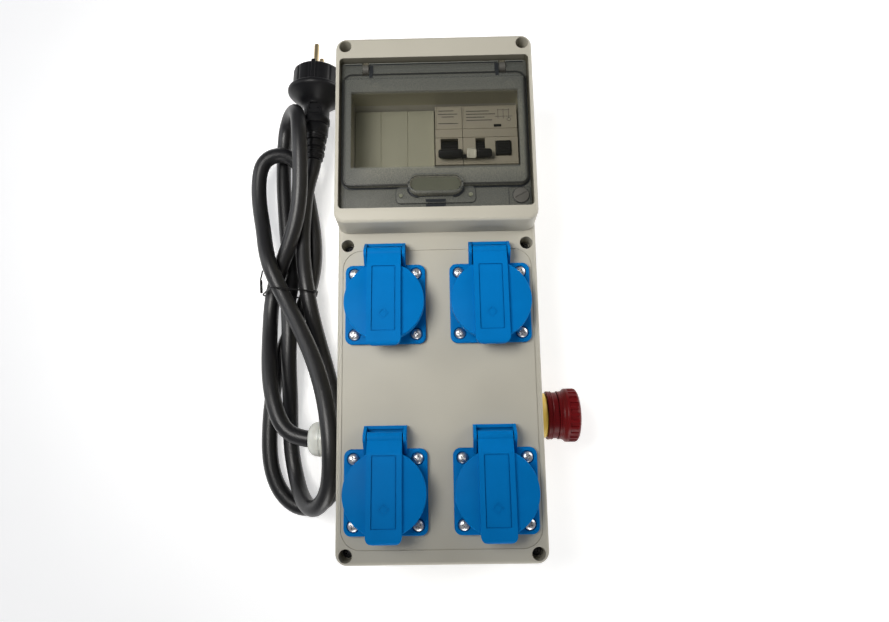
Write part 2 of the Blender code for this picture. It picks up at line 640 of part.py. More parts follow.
def cable_gland():
    body = add_object("gland_body", slab(hexagon(13.6), 0.3, 6.6), NYLON)
    join(body, slab(circle(0, 0, 9.8, 24), -10.0, 13.0))
    cut(body, slab(circle(0, 0, 6.1, 20), -12.0, 15.0))
    facing_left(body)
    for tool in [m.object for m in body.modifiers]:
        facing_left(tool)
    dome = [(6.2, 24.9), (8.2, 24.5), (10.6, 22.2), (11.8, 19.0), (12.2, 15.0), (12.2, 7.0), (10.2, 7.0), (10.2, 13.4), (6.2, 13.4)]
    facing_left(turned("gland_cap", dome, NYLON, sides=24, closed=True))
    nut = add_object("gland_locknut", ring_slab(circle(0, 0, 13.4, 24), circle(0, 0, 10.1, 24), -8.0, -3.3), NYLON)
    facing_left(nut)


def smooth_curve(points, per_span):
    """A natural cubic spline through points, read per_span times between each two of them."""
    p = np.array(points, float)
    h = np.linalg.norm(np.diff(p, axis=0), axis=1)
    n = len(p)
    system = np.eye(n)
    right = np.zeros((n, 3))
    for i in range(1, n - 1):
        system[i, i - 1:i + 2] = h[i - 1], 2 * (h[i - 1] + h[i]), h[i]
        right[i] = 6 * ((p[i + 1] - p[i]) / h[i] - (p[i] - p[i - 1]) / h[i - 1])
    bend = np.linalg.solve(system, right)
    out = []
    for i in range(n - 1):
        for u in np.arange(per_span) / per_span * h[i]:
            v = h[i] - u
            out.append((bend[i] * v**3 + bend[i + 1] * u**3) / (6 * h[i])
                       + (p[i] / h[i] - bend[i] * h[i] / 6) * v
                       + (p[i + 1] / h[i] - bend[i + 1] * h[i] / 6) * u)
    out.append(p[-1])
    return np.array(out)


def read_along(points, count, bend_weight=25.0, square=3.0):
    """The same curve with count points, closer together in its bends, and a short step at each end."""
    steps = np.diff(points, axis=0)
    lengths = np.linalg.norm(steps, axis=1)
    heading = steps / lengths[:, None]
    turning = np.arccos(np.clip((heading[1:] * heading[:-1]).sum(axis=1), -1.0, 1.0))
    effort = np.concatenate([[0.0], np.cumsum(lengths + bend_weight * np.append(turning, 0.0))])
    along = np.concatenate([[0.0], np.cumsum(lengths)])
    wanted = np.interp(np.linspace(0.0, effort[-1], count - 2), effort, along)
    wanted = np.sort(np.append(wanted, [square, along[-1] - square]))
    return np.stack([np.interp(wanted, along, points[:, k]) for k in range(3)], axis=1)


def wire(name, points, radius, finish, resolution, cyclic=False):
    curve = bpy.data.curves.new(name, "CURVE")
    curve.dimensions = "3D"
    curve.bevel_depth = radius * MM
    curve.bevel_resolution = resolution
    curve.use_fill_caps = not cyclic
    curve.twist_mode = "MINIMUM"
    spline = curve.splines.new("POLY")
    spline.points.add(len(points) - 1)
    for point, (x, y, z) in zip(spline.points, points):
        point.co = (x * MM, y * MM, z * MM, 1.0)
    spline.use_cyclic_u = cyclic
    curve.materials.append(finish)
    obj = bpy.data.objects.new(name, curve)
    parts.objects.link(obj)
    return obj


def supply_cord():
    wire("supply_cord", read_along(smooth_curve(CORD_ROUTE, 12), 86), CORD_RADIUS, RUBBER, 2)


def hull(points):
    """The convex outline round a set of points, anticlockwise."""
    ordered = sorted(points)
    halves = []
    for sequence in (ordered, ordered[::-1]):
        chain = []
        for p in sequence:
            while len(chain) > 1:
                (ax, ay), (bx, by) = chain[-2], chain[-1]
                if (bx - ax) * (p[1] - ay) - (by - ay) * (p[0] - ax) > 0:
                    break
                chain.pop()
            chain.append(p)
        halves += chain[:-1]
    return halves


def cord_tie():
    """A wire drawn round the waist of the bundle, just clear of the strands that cross there."""
    points = [p for x, z, clear in TIE_STRANDS for p in circle(x, z, clear, 20)]
    wire("cord_tie", [(x, TIE_Y, z) for x, z in hull(points)], 0.6, BLACK, 1, cyclic=True)


def plug():
    rear = [(0, PLUG_FACE), (17.6, PLUG_FACE), (18.4, PLUG_FACE - 1), (18.4, 57.4), (21.2, 57.4), (21.8, 56.2), (21.2, 54.2),
            (16.0, 48.5), (10.6, 43.0), (9.8, 41.0), (9.8, 33.0), (10.4, 32.6), (10.4, 27.4), (9.0, 26.2), (9.4, 19.0),
            (8.0, 16.2), (6.4, 0.0), (0, 0.0)]
    body = turned("plug_body", rear, RUBBER, sides=28)
    pins = [slab(circle(s * PIN_OFFSET, 0, 2.7, 12), 56.0, 75.0) for s in (-1, 1)]
    clips = [box_mesh(-2.6, 2.6, *sorted((s * 16.6, s * 20.0)), 59.0, 75.0) for s in (-1, 1)]
    cut(body, merged(*pins))
    cut(body, merged(*clips))
    axis = pivot("plug_axis", PLUG_REAR)
    axis.rotation_euler = (-math.pi / 2, 0, -PLUG_TURN)
    # In the plug's own frame its length is Z and its pins are one above the other.
    turn = (0, 0, math.pi / 2)
    for obj in [body] + [m.object for m in body.modifiers if m.type == "BOOLEAN"]:
        obj.parent = axis
        obj.rotation_euler = turn
    profile = [(0, 89.0), (1.3, 88.8), (2.4, 86.8), (2.4, 57.0), (0, 57.0)]
    pin_mesh = baked(turned("plug_pin_template", profile, sides=14), BRASS)
    for number, s in ((1, -1), (2, 1)):
        place(f"plug_pin_{number}", pin_mesh, (0, s * PIN_OFFSET, 0), parent=axis)


# ---------------------------------------------------------------- assembly

rear_case()
case_gasket()
front_cover()
cover_screws()
window_cover()
din_rail()
blanking_strip()
mcb_body()
rcd_body()
toggles()
test_button()
sockets()
emergency_stop()
cable_gland()
supply_cord()
cord_tie()
plug()

for part in parts.objects:
    if part.type == "MESH":
        shade(part.data)
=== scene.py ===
"""The looks of the portable power distribution box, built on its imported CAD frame.
Lengths are written in millimetres and scaled by MM. X runs across, Y along, Z out of the front."""

import math

import bmesh
import bpy
import numpy as np
from mathutils import Matrix, Vector


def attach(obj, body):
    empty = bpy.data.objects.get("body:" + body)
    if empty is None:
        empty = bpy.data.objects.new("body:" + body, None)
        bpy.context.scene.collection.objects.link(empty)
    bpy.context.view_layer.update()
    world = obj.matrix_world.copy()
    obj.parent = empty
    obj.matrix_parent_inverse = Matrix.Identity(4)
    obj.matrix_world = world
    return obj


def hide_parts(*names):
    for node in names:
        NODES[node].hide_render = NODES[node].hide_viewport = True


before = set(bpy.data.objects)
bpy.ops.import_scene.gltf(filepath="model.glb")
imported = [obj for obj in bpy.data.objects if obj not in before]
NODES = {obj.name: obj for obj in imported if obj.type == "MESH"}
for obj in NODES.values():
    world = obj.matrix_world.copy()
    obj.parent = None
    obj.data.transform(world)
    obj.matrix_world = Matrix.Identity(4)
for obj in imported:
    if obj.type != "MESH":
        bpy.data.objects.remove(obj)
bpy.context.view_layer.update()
MM = 0.001
BASE = "enclosure"


# ---------------------------------------------------------------- camera, light and floor

def look(position, right, up, back):
    """An object's matrix from where it is and its three axes."""
    axes = Matrix((right, up, back)).transposed()
    return Matrix.Translation(Vector(position)) @ axes.to_4x4()


def add_object(name, data):
    obj = bpy.data.objects.new(name, data)
    bpy.context.scene.collection.objects.link(obj)
    return obj


def add_camera():
    data = bpy.data.cameras.new("camera")
    data.sensor_width = 36.0
    data.lens = 25.107
    data.shift_x = 0.00956
    data.shift_y = 0.0056
    data.clip_start = 0.02
    camera = add_object("camera", data)
    camera.matrix_world = look((0.0036, -0.0813, 0.4541), (0.99976, -0.01564, -0.01558),
                               (0.01807, 0.98523, 0.17031), (0.01268, -0.17055, 0.98527))
    bpy.context.scene.camera = camera


def add_light(name, position, target, size, power, colour, spread=180.0):
    data = bpy.data.lights.new(name, "AREA")
    data.shape = "DISK"
    data.size = size
    data.energy = power
    data.spread = math.radians(spread)
    data.color = colour
    lamp = add_object(name, data)
    lamp.location = position
    aim = Vector(target) - Vector(position)
    lamp.rotation_euler = aim.to_track_quat("-Z", "Y").to_euler()


def add_surroundings():
    warm, cool = (1.0, 0.98, 0.95), (0.96, 0.97, 1.0)
    add_light("key", (-0.22, 0.05, 0.53), (0.0, 0.075, 0.08), 0.30, 0.535, (1.0, 0.98, 0.945), spread=75.0)
    add_light("fill", (0.05, -0.98, 0.17), (0.0, 0.0, 0.07), 0.6, 4.4, warm)
    add_light("left", (-0.9, 0.25, 0.4), (0.0, 0.05, 0.03), 0.5, 1.5, cool)
    add_light("right", (0.75, 0.40, 0.30), (0.0, -0.05, 0.03), 0.5, 3.9, warm)
    world = bpy.data.worlds.new("studio")
    world.use_nodes = True
    sky = world.node_tree.nodes["Background"].inputs
    sky["Color"].default_value = (0.93, 0.95, 1.0, 1.0)
    sky["Strength"].default_value = 0.21
    bpy.context.scene.world = world
    bpy.context.scene.view_settings.view_transform = "Standard"
    reach = 4.0
    mesh = bpy.data.meshes.new("floor")
    corners = [(-reach, -reach, 0), (reach, -reach, 0), (reach, reach, 0), (-reach, reach, 0)]
    mesh.from_pydata(corners, [], [(0, 1, 2, 3)])
    floor = add_object("floor", mesh)
    pale = plastic("pale_floor", (0.92, 0.92, 0.92), 0.8, grain=(900, 0.02), mottle=0.01, specular=0.2)
    Nodes(pale).shade(Emission_Color=(1.0, 1.0, 1.0, 1.0), Emission_Strength=0.50)
    mesh.materials.append(pale)


# ---------------------------------------------------------------- materials

BUMP_DEPTH = 0.0003


class Nodes:
    """Short calls that add nodes to one material and join them."""

    def __init__(self, material):
        self.tree = material.node_tree
        self.shader = self.tree.nodes["Principled BSDF"]
        self.place = self.add("TexCoord").outputs["Object"]

    def put(self, socket, value):
        """Joins a socket to another node's output, or sets it to a plain value."""
        if isinstance(value, bpy.types.NodeSocket):
            self.tree.links.new(value, socket)
        else:
            socket.default_value = value

    def shade(self, **values):
        """Sets the shader's inputs, with _ for each space in their names."""
        for name, value in values.items():
            self.put(self.shader.inputs[name.replace("_", " ")], value)

    def add(self, kind, inputs=(), **settings):
        node = self.tree.nodes.new("ShaderNode" + kind)
        for name, value in settings.items():
            setattr(node, name, value)
        for key, value in dict(inputs).items():
            self.put(node.inputs[key], value)
        return node

    def math(self, operation, *values):
        return self.add("Math", enumerate(values), operation=operation).outputs[0]

    def vector(self, operation, *values):
        return self.add("VectorMath", enumerate(values), operation=operation).outputs[0]

    def split(self, vector):
        return self.add("SeparateXYZ", {0: vector}).outputs

    def ranged(self, value, low, high, to_low=0.0, to_high=1.0):
        limits = {"Value": value, "From Min": low, "From Max": high, "To Min": to_low, "To Max": to_high}
        return self.add("MapRange", limits).outputs["Result"]

    def noise(self, scale, detail):
        return self.add("TexNoise", {"Vector": self.place, "Scale": scale, "Detail": detail}).outputs["Fac"]

    def ramp(self, value, first, last, start=0.0, end=1.0):
        """The colour that goes from first to last as value goes from start to end."""
        node = self.add("ValToRGB", {"Fac": value})
        for stop, position, colour in zip(node.color_ramp.elements, (start, end), (first, last)):
            stop.position = position
            stop.color = (*colour, 1.0)
        return node.outputs["Color"]

    def bump(self, height, strength):
        relief = {"Height": height, "Strength": strength, "Distance": BUMP_DEPTH}
        self.shade(Normal=self.add("Bump", relief).outputs["Normal"])


def new_material(name, slot):
    made = bpy.data.materials.new(name)
    made["slot"] = slot
    made.use_nodes = True
    return made


def plastic(name, colour, roughness, grain=(1400, 0.08), mottle=0.05, mottle_scale=40, metallic=0.0,
            rough_spread=0.06, specular=0.5, slot=None):
    """Moulded material: mottled colour, uneven gloss and a fine grain in its surface."""
    made = new_material(name, slot or name)
    nodes = Nodes(made)
    cloud = nodes.noise(mottle_scale, 4.0)
    dark = [c * (1 - mottle) for c in colour]
    pale = [min(1.0, c * (1 + mottle)) for c in colour]
    gloss = nodes.ranged(cloud, 0.0, 1.0, max(0.02, roughness - rough_spread), roughness + rough_spread)
    nodes.shade(Metallic=metallic, Specular_IOR_Level=specular, Roughness=gloss,
                Base_Color=nodes.ramp(cloud, dark, pale, 0.3, 0.7))
    scale, strength = grain
    nodes.bump(nodes.noise(scale, 2.0), strength)
    return made


def cover_plastic():
    """The grey plastic, with painted shade inside the window recess, where the tinted window shades it."""
    made = plastic("cover_plastic", **GREY_LOOK, slot="grey_plastic")
    nodes = Nodes(made)
    bright = nodes.shader.inputs["Base Color"].links[0].from_socket
    centre, half_size = (0.0, 0.0986, 0.080), (0.0602, 0.0503, 0.0136)
    from_centre = nodes.vector("ABSOLUTE", nodes.vector("SUBTRACT", nodes.place, centre))
    over = nodes.split(nodes.vector("SUBTRACT", from_centre, half_size))
    outside = nodes.math("MAXIMUM", nodes.math("MAXIMUM", over["X"], over["Y"]), over["Z"])
    height = nodes.ranged(nodes.split(nodes.place)["Z"], 0.084, 0.088)
    # Painted shade: the recess turns darker and more olive, darkest towards the front, just under the window.
    painted_shade = nodes.ramp(height, (0.36, 0.336, 0.240), (0.085, 0.078, 0.055))
    factor, colour_a, colour_b, colour_out = 0, 6, 7, 2
    mixed = {factor: nodes.ranged(outside, 0.0003, -0.0003), colour_a: bright, colour_b: painted_shade}
    nodes.shade(Base_Color=nodes.add("Mix", mixed, data_type="RGBA").outputs[colour_out])
    return made


def nylon():
    made = plastic("gland_nylon", (0.68, 0.69, 0.64), 0.24, grain=(1200, 0.06), mottle=0.03)
    Nodes(made).shade(Subsurface_Weight=0.5, Subsurface_Scale=0.004, Subsurface_Radius=(1.0, 0.9, 0.8))
    return made


def smoked():
    """Smoked polycarbonate, clear over the breakers and pebbled round them."""
    made = new_material("smoked_window", "smoked_window")
    nodes = Nodes(made)
    math_node, ranged = nodes.math, nodes.ranged
    across, along, _ = nodes.split(nodes.place)

    def outside(half_x, y, half_y, corner=0.0):
        """How far a point lies outside a rounded box, in metres."""
        past_x = math_node("SUBTRACT", math_node("ABSOLUTE", across), (half_x - corner) * MM)
        past_y = math_node("ABSOLUTE", math_node("SUBTRACT", along, y * MM))
        past_y = math_node("SUBTRACT", past_y, (half_y - corner) * MM)
        squares = [math_node("POWER", math_node("MAXIMUM", side, 0.0), 2.0) for side in (past_x, past_y)]
        reach = math_node("SQRT", math_node("ADD", *squares))
        inner = math_node("MINIMUM", math_node("MAXIMUM", past_x, past_y), 0.0)
        return math_node("SUBTRACT", math_node("ADD", reach, inner), corner * MM)

    clear = math_node("MINIMUM", outside(52.5, 100.7, 25.3), outside(15.6, 63.4, 5.0, 4.6))
    frost = ranged(clear, -0.0004, 0.0004)
    panel_edge = math_node("ABSOLUTE", math_node("ADD", outside(57.9, 101.2, 38.2, 5.5), 0.0007))
    wall = math_node("MULTIPLY", ranged(panel_edge, 0.0009, 0.0005), frost)
    # Painted highlight: a bright, more opaque line along the plate's top and bottom edges.
    painted_edge_highlight = ranged(math_node("ABSOLUTE", math_node("SUBTRACT", along, 0.0986)), 0.0485, 0.0489)
    pebble = nodes.add("TexVoronoi", {"Vector": nodes.place, "Scale": 1250}).outputs["Distance"]
    speckle = math_node("MULTIPLY", math_node("SUBTRACT", pebble, 0.35), frost)
    alpha = math_node("ADD", ranged(frost, 0.0, 1.0, 0.16, 0.45), math_node("MULTIPLY", speckle, 0.35))
    alpha = math_node("MAXIMUM", alpha, math_node("MULTIPLY", wall, 0.86))
    alpha = math_node("MAXIMUM", alpha, math_node("MULTIPLY", painted_edge_highlight, 0.75))
    tint = nodes.ramp(frost, (0.012, 0.012, 0.007), (0.100, 0.104, 0.094))
    # Painted light whitens the pebbled border most towards its lower left corner.
    slant = math_node("ADD", across, math_node("MULTIPLY", along, 0.8))
    painted_light = ranged(slant, 0.015, 0.110, 1.20, 1.15)
    level = math_node("MULTIPLY", painted_light, ranged(wall, 0.0, 1.0, 1.0, 0.15))
    level = math_node("ADD", level, math_node("MULTIPLY", painted_edge_highlight, 2.2))
    scaled = nodes.add("VectorMath", {0: tint, "Scale": level}, operation="SCALE")
    nodes.shade(Alpha=alpha, Roughness=ranged(frost, 0.0, 1.0, 0.06, 0.34), Specular_IOR_Level=0.25,
                Base_Color=scaled.outputs[0])
    nodes.bump(pebble, math_node("MULTIPLY", frost, 0.30))
    return made


add_camera()
add_surroundings()

GREY_LOOK = dict(colour=(0.425, 0.404, 0.338), roughness=0.45, grain=(1800, 0.10), mottle=0.03,
                 mottle_scale=25, specular=0.4)
GREY = plastic("grey_plastic", **GREY_LOOK)
COVER = cover_plastic()
INNER = plastic("device_plastic", (0.37, 0.335, 0.250), 0.40, grain=(2200, 0.08), mottle=0.03)
BLANK = plastic("blank_plastic", (0.40, 0.390, 0.285), 0.45, grain=(1800, 0.10), mottle=0.03)
BLUE = plastic("blue_plastic", (0.001, 0.146, 0.430), 0.36, grain=(1500, 0.12), mottle_scale=60,
               specular=0.02)
BLACK = plastic("black_plastic", (0.010, 0.010, 0.011), 0.42, grain=(1600, 0.15), mottle=0.1, specular=0.2)
INK = plastic("print_ink", (0.06, 0.06, 0.06), 0.6, mottle=0.15, mottle_scale=300, slot="black_plastic")
WHITE = plastic("white_plastic", (0.68, 0.65, 0.52), 0.35, mottle=0.03)
RUBBER = plastic("black_rubber", (0.006, 0.006, 0.007), 0.38, grain=(900, 0.12), mottle=0.18, mottle_scale=30,
                 specular=0.22)
CABLE = plastic("cable_rubber", (0.0036, 0.0035, 0.0044), 0.40, grain=(700, 0.25), mottle=0.25,
                mottle_scale=55, rough_spread=0.08, specular=0.60, slot="black_rubber")
RED = plastic("red_plastic", (0.130, 0.0045, 0.006), 0.32, grain=(900, 0.08), mottle=0.08, mottle_scale=50,
              specular=0.14)
YELLOW = plastic("yellow_plastic", (1.0, 0.68, 0.12), 0.38, grain=(1500, 0.08))
STEEL = plastic("plated_steel", (0.70, 0.70, 0.71), 0.36, grain=(1200, 0.10), mottle=0.08, metallic=1.0)
BRASS = plastic("brass_pin", (0.70, 0.56, 0.33), 0.28, grain=(1500, 0.03), mottle=0.06, metallic=1.0)
PIN = plastic("pin_steel", (0.10, 0.10, 0.105), 0.5, mottle=0.1, metallic=1.0, slot="plated_steel")
SEAL = plastic("seal_foam", (0.03, 0.03, 0.03), 0.8, grain=(1500, 0.4), mottle=0.2)
OLIVE = plastic("olive_tint", (0.135, 0.140, 0.098), 0.4, mottle=0.08, slot="smoked_window")
# Near black on the grey hinge lugs is painted shade, for they lie deep in the recess under the window; the
# window lock takes it as its own dark colour.
LUG = plastic("lug_plastic", (0.085, 0.082, 0.072), 0.5, specular=0.2, slot="grey_plastic")
NYLON = nylon()
SMOKED = smoked()
SMOKED_EDGE = plastic("smoked_edge", (0.016, 0.018, 0.020), 0.2, slot="smoked_window")


# ---------------------------------------------------------------- outlines and solids

SHARP_ANGLE = math.radians(35)


def arc(cx, cy, radius, start, end, steps):
    angles = np.radians(np.linspace(start, end, steps + 1))
    return [(cx + radius * math.cos(a), cy + radius * math.sin(a)) for a in angles]


def circle(cx, cy, radius, sides=72):
    return arc(cx, cy, radius, 0, 360, sides)[:-1]


def rounded(box, radius, inset=0.0, steps=10):
    x0, x1, y0, y1 = box[0] + inset, box[1] - inset, box[2] + inset, box[3] - inset
    r = max(radius - inset, 0.15)
    corners = ((x1 - r, y0 + r, -90), (x1 - r, y1 - r, 0), (x0 + r, y1 - r, 90), (x0 + r, y0 + r, 180))
    return [p for cx, cy, a in corners for p in arc(cx, cy, r, a, a + 90, steps)]


def loft(layers):
    bm = bmesh.new()
    rings = [[bm.verts.new((x * MM, y * MM, z * MM)) for x, y in outline] for outline, z in layers]
    count = len(rings[0])
    for low, high in zip(rings, rings[1:]):
        for i in range(count):
            j = (i + 1) % count
            bm.faces.new((low[i], low[j], high[j], high[i]))
    bm.faces.new(rings[0][::-1])
    bm.faces.new(rings[-1])
    return bm


def slab(outline, z0, z1):
    return loft([(outline, z0), (outline, z1)])


def eased(outline_at, z0, z1, ease, foot=False):
    """A block with its upper edge rolled over, with foot its lower one too; outline_at(inset) is its plan."""
    layers = []
    turns = [math.radians(angle) for angle in (0, 30, 60, 90)]
    if foot:
        layers += [(outline_at(ease * (1 - math.sin(t))), z0 + ease * (1 - math.cos(t))) for t in turns]
    else:
        layers.append((outline_at(0.0), z0))
    layers += [(outline_at(ease * (1 - math.cos(t))), z1 - ease * (1 - math.sin(t))) for t in turns]
    return loft(layers)


def block(x0, x1, y0, y1, z0, z1):
    return slab([(x0, y0), (x1, y0), (x1, y1), (x0, y1)], z0, z1)


def span(side, near, far):
    """The ends of a stretch from near to far, in order, on the negative or positive side of zero."""
    return sorted((side * near, side * far))


def band(outer, inner, z0, z1):
    bm = bmesh.new()
    loops = []
    for outline, z in ((outer, z0), (outer, z1), (inner, z1), (inner, z0)):
        loops.append([bm.verts.new((x * MM, y * MM, z * MM)) for x, y in outline])
    count = len(outer)
    for a, b in zip(loops, loops[1:] + loops[:1]):
        for i in range(count):
            j = (i + 1) % count
            bm.faces.new((a[i], a[j], b[j], b[i]))
    return bm


def revolve(profile, sides=72, ripple=None):
    """A body turned about Z from (radius, z) points, bottom to top. ripple(angle, r, z) reshapes radii."""
    bm = bmesh.new()
    rings = []
    for r, z in profile:
        if r == 0:
            rings.append([bm.verts.new((0, 0, z * MM))])
            continue
        ring = []
        for k in range(sides):
            a = 2 * math.pi * k / sides
            q = ripple(a, r, z) if ripple else r
            ring.append(bm.verts.new((q * math.cos(a) * MM, q * math.sin(a) * MM, z * MM)))
        rings.append(ring)
    for low, high in zip(rings, rings[1:]):
        for i in range(sides):
            j = (i + 1) % sides
            if len(low) == 1:
                bm.faces.new((low[0], high[j], high[i]))
            elif len(high) == 1:
                bm.faces.new((low[i], low[j], high[0]))
            else:
                bm.faces.new((low[i], low[j], high[j], high[i]))
    if len(rings[0]) > 1:
        bm.faces.new(rings[0][::-1])
    if len(rings[-1]) > 1:
        bm.faces.new(rings[-1])
    return bm


def tube(profile, bore, sides=72):
    """A turned body with a straight bore through it."""
    shell = temporary(revolve(profile, sides))
    z0, z1 = profile[0][1] - 1, profile[-1][1] + 1
    minus(shell, slab(circle(0, 0, bore, sides), z0, z1))
    return as_bmesh(shell)


def moved(bm, matrix):
    bm.transform(matrix)
    return bm


def at(x, y, z):
    return Matrix.Translation((x * MM, y * MM, z * MM))


def turn(degrees, axis):
    return Matrix.Rotation(math.radians(degrees), 4, axis)


ALONG_X = Matrix(((0, 0, 1, 0), (1, 0, 0, 0), (0, 1, 0, 0), (0, 0, 0, 1)))


def along_x(bm):
    """Turns a solid drawn as (y, z) with its height along X."""
    return moved(bm, ALONG_X)


def both_sides(outline, near, far):
    """Two slabs of one (y, z) outline, from near to far on either side of the middle."""
    return merged(*[along_x(slab(outline, *span(s, near, far))) for s in (-1, 1)])


def merged(*parts):
    bm = bmesh.new()
    for part in parts:
        mesh = bpy.data.meshes.new("part")
        part.to_mesh(mesh)
        part.free()
        bm.from_mesh(mesh)
        bpy.data.meshes.remove(mesh)
    return bm


def temporary(bm):
    bmesh.ops.recalc_face_normals(bm, faces=bm.faces)
    mesh = bpy.data.meshes.new("temporary")
    bm.to_mesh(mesh)
    bm.free()
    return add_object("temporary", mesh)


def boolean(obj, operation, *parts):
    for bm in parts:
        tool = temporary(bm)
        modifier = obj.modifiers.new("Shape", "BOOLEAN")
        modifier.operation = operation
        modifier.solver = "EXACT"
        modifier.object = tool
    return obj


def minus(obj, *parts):
    return boolean(obj, "DIFFERENCE", *parts)


def plus(obj, *parts):
    return boolean(obj, "UNION", *parts)


def settled(obj):
    """The mesh an object's modifiers give, with the object and its tools removed."""
    bpy.context.view_layer.update()
    graph = bpy.context.evaluated_depsgraph_get()
    mesh = bpy.data.meshes.new_from_object(obj.evaluated_get(graph))
    tools = [m.object for m in obj.modifiers if m.type == "BOOLEAN"]
    for used in tools + [obj]:
        old = used.data
        bpy.data.objects.remove(used, do_unlink=True)
        bpy.data.meshes.remove(old)
    return mesh


def as_bmesh(obj):
    mesh = settled(obj)
    bm = bmesh.new()
    bm.from_mesh(mesh)
    bpy.data.meshes.remove(mesh)
    return bm


def dress(mesh, finish):
    mesh.materials.clear()
    mesh.materials.append(finish)
    mesh.shade_smooth()
    mesh.set_sharp_from_angle(angle=SHARP_ANGLE)
    return mesh


def finish_node(name, finish):
    """Gives a CAD node that stays in view its material."""
    materials = NODES[name].data.materials
    materials.clear()
    materials.append(finish)


def piece(name, shape, finish, body=BASE, stands_for=(), ease=0.0, place=Matrix()):
    """A finished piece on its body, from a bmesh, a shared mesh, or an object with modifiers to settle."""
    if isinstance(shape, bmesh.types.BMesh):
        bmesh.ops.recalc_face_normals(shape, faces=shape.faces)
        mesh = bpy.data.meshes.new(name)
        shape.to_mesh(mesh)
        shape.free()
    elif isinstance(shape, bpy.types.Object):
        mesh = settled(shape)
    else:
        mesh = shape
    if not mesh.materials:
        dress(mesh, finish)
    obj = add_object(name, mesh)
    obj.matrix_world = place
    if ease:
        soften(obj, ease)
    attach(obj, body)
    if stands_for:
        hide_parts(*stands_for)
    return obj


def soften(obj, width):
    bevel = obj.modifiers.new("Eased edges", "BEVEL")
    bevel.width = width * MM
    bevel.segments = 2
    bevel.limit_method = "ANGLE"
    bevel.angle_limit = SHARP_ANGLE
    bevel.harden_normals = True
    bevel.use_clamp_overlap = True


def wire(name, points, radius, finish, resolution=4, cyclic=False):
    curve = bpy.data.curves.new(name, "CURVE")
    curve.dimensions = "3D"
    curve.bevel_depth = radius * MM
    curve.bevel_resolution = resolution
    curve.use_fill_caps = not cyclic
    curve.twist_mode = "MINIMUM"
    spline = curve.splines.new("POLY")
    spline.points.add(len(points) - 1)
    for point, (x, y, z) in zip(spline.points, points):
        point.co = (x * MM, y * MM, z * MM, 1.0)
    spline.use_cyclic_u = cyclic
    spline.use_smooth = True
    curve.materials.append(finish)
    return add_object(name, curve)


# ---------------------------------------------------------------- the lead

CORD_ROUTE = (
    (-87.8, -90.4, 34), (-101, -86, 33), (-113, -66, 30), (-120, -34, 20), (-122.5, -8, 11),
    (-121.5, 12, 10.3), (-114, 32, 18.6), (-101, 64, 30), (-97, 100, 38), (-98, 128, 40),
    (-101, 143, 35), (-107, 149, 24), (-114, 144, 12), (-117, 128, 6.5), (-117, 104, 6),
    (-115, 76, 6), (-111.5, 46, 6), (-108.2, 25, 7.6), (-108.5, 9, 15), (-107, -9, 18.5),
    (-107, -34, 16.5), (-107, -67, 8.5), (-106, -98, 6), (-101, -118, 10), (-94, -130, 21),
    (-84, -135, 34), (-74, -126, 45), (-70, -107, 52), (-73, -73, 51), (-85, -37, 40),
    (-98, -11, 33), (-110, 11, 29.5), (-119.5, 32, 29.2), (-127, 60, 21), (-131.5, 82, 17.5),
    (-132, 100, 18), (-127.5, 113.3, 19.3), (-116.5, 118.5, 18.2), (-105.5, 114, 14), (-100.3, 101, 9),
    (-95.5, 76, 6), (-92, 46, 6), (-94, 23, 7.6), (-101, 2, 7.4), (-113, -24, 6),
    (-120, -55, 6), (-122, -86, 6), (-119, -113, 6), (-110, -130, 6), (-96, -138, 6),
    (-81, -133, 6), (-73, -113, 6), (-74, -76, 6), (-82, -41, 6), (-89, -14, 12),
    (-94, 12, 19), (-98, 40, 17.5), (-98, 76, 17), (-94.6, 96, 20), (-91.2, 107.4, 22), (-90.5, 111.5, 22),
)
CORD_RADIUS = 5.5
HOLE_Y = 9.5  # from the middle of a plug or a socket to each of its two pins or holes
PLUG = at(-90.4, 112.4, 22.0) @ turn(-1.6, "Z") @ turn(-90, "X")


def smooth_curve(points, per_span):
    """A natural cubic spline through points, read per_span times between each two of them."""
    p = np.array(points, float)
    h = np.linalg.norm(np.diff(p, axis=0), axis=1)
    n = len(p)
    system = np.eye(n)
    right = np.zeros((n, 3))
    for i in range(1, n - 1):
        system[i, i - 1:i + 2] = h[i - 1], 2 * (h[i - 1] + h[i]), h[i]
        right[i] = 6 * ((p[i + 1] - p[i]) / h[i] - (p[i] - p[i - 1]) / h[i - 1])
    bend = np.linalg.solve(system, right)
    out = []
    for i in range(n - 1):
        for u in np.arange(per_span) / per_span * h[i]:
            v = h[i] - u
            out.append((bend[i] * v**3 + bend[i + 1] * u**3) / (6 * h[i])
                       + (p[i] / h[i] - bend[i] * h[i] / 6) * v
                       + (p[i + 1] / h[i] - bend[i + 1] * h[i] / 6) * u)
    out.append(p[-1])
    return np.array(out)


def hull(points):
    ordered = sorted(points)
    halves = []
    for sequence in (ordered, ordered[::-1]):
        chain = []
        for p in sequence:
            while len(chain) > 1:
                (ax, ay), (bx, by) = chain[-2], chain[-1]
                if (bx - ax) * (p[1] - ay) - (by - ay) * (p[0] - ax) > 0:
                    break
                chain.pop()
            chain.append(p)
        halves += chain[:-1]
    return halves


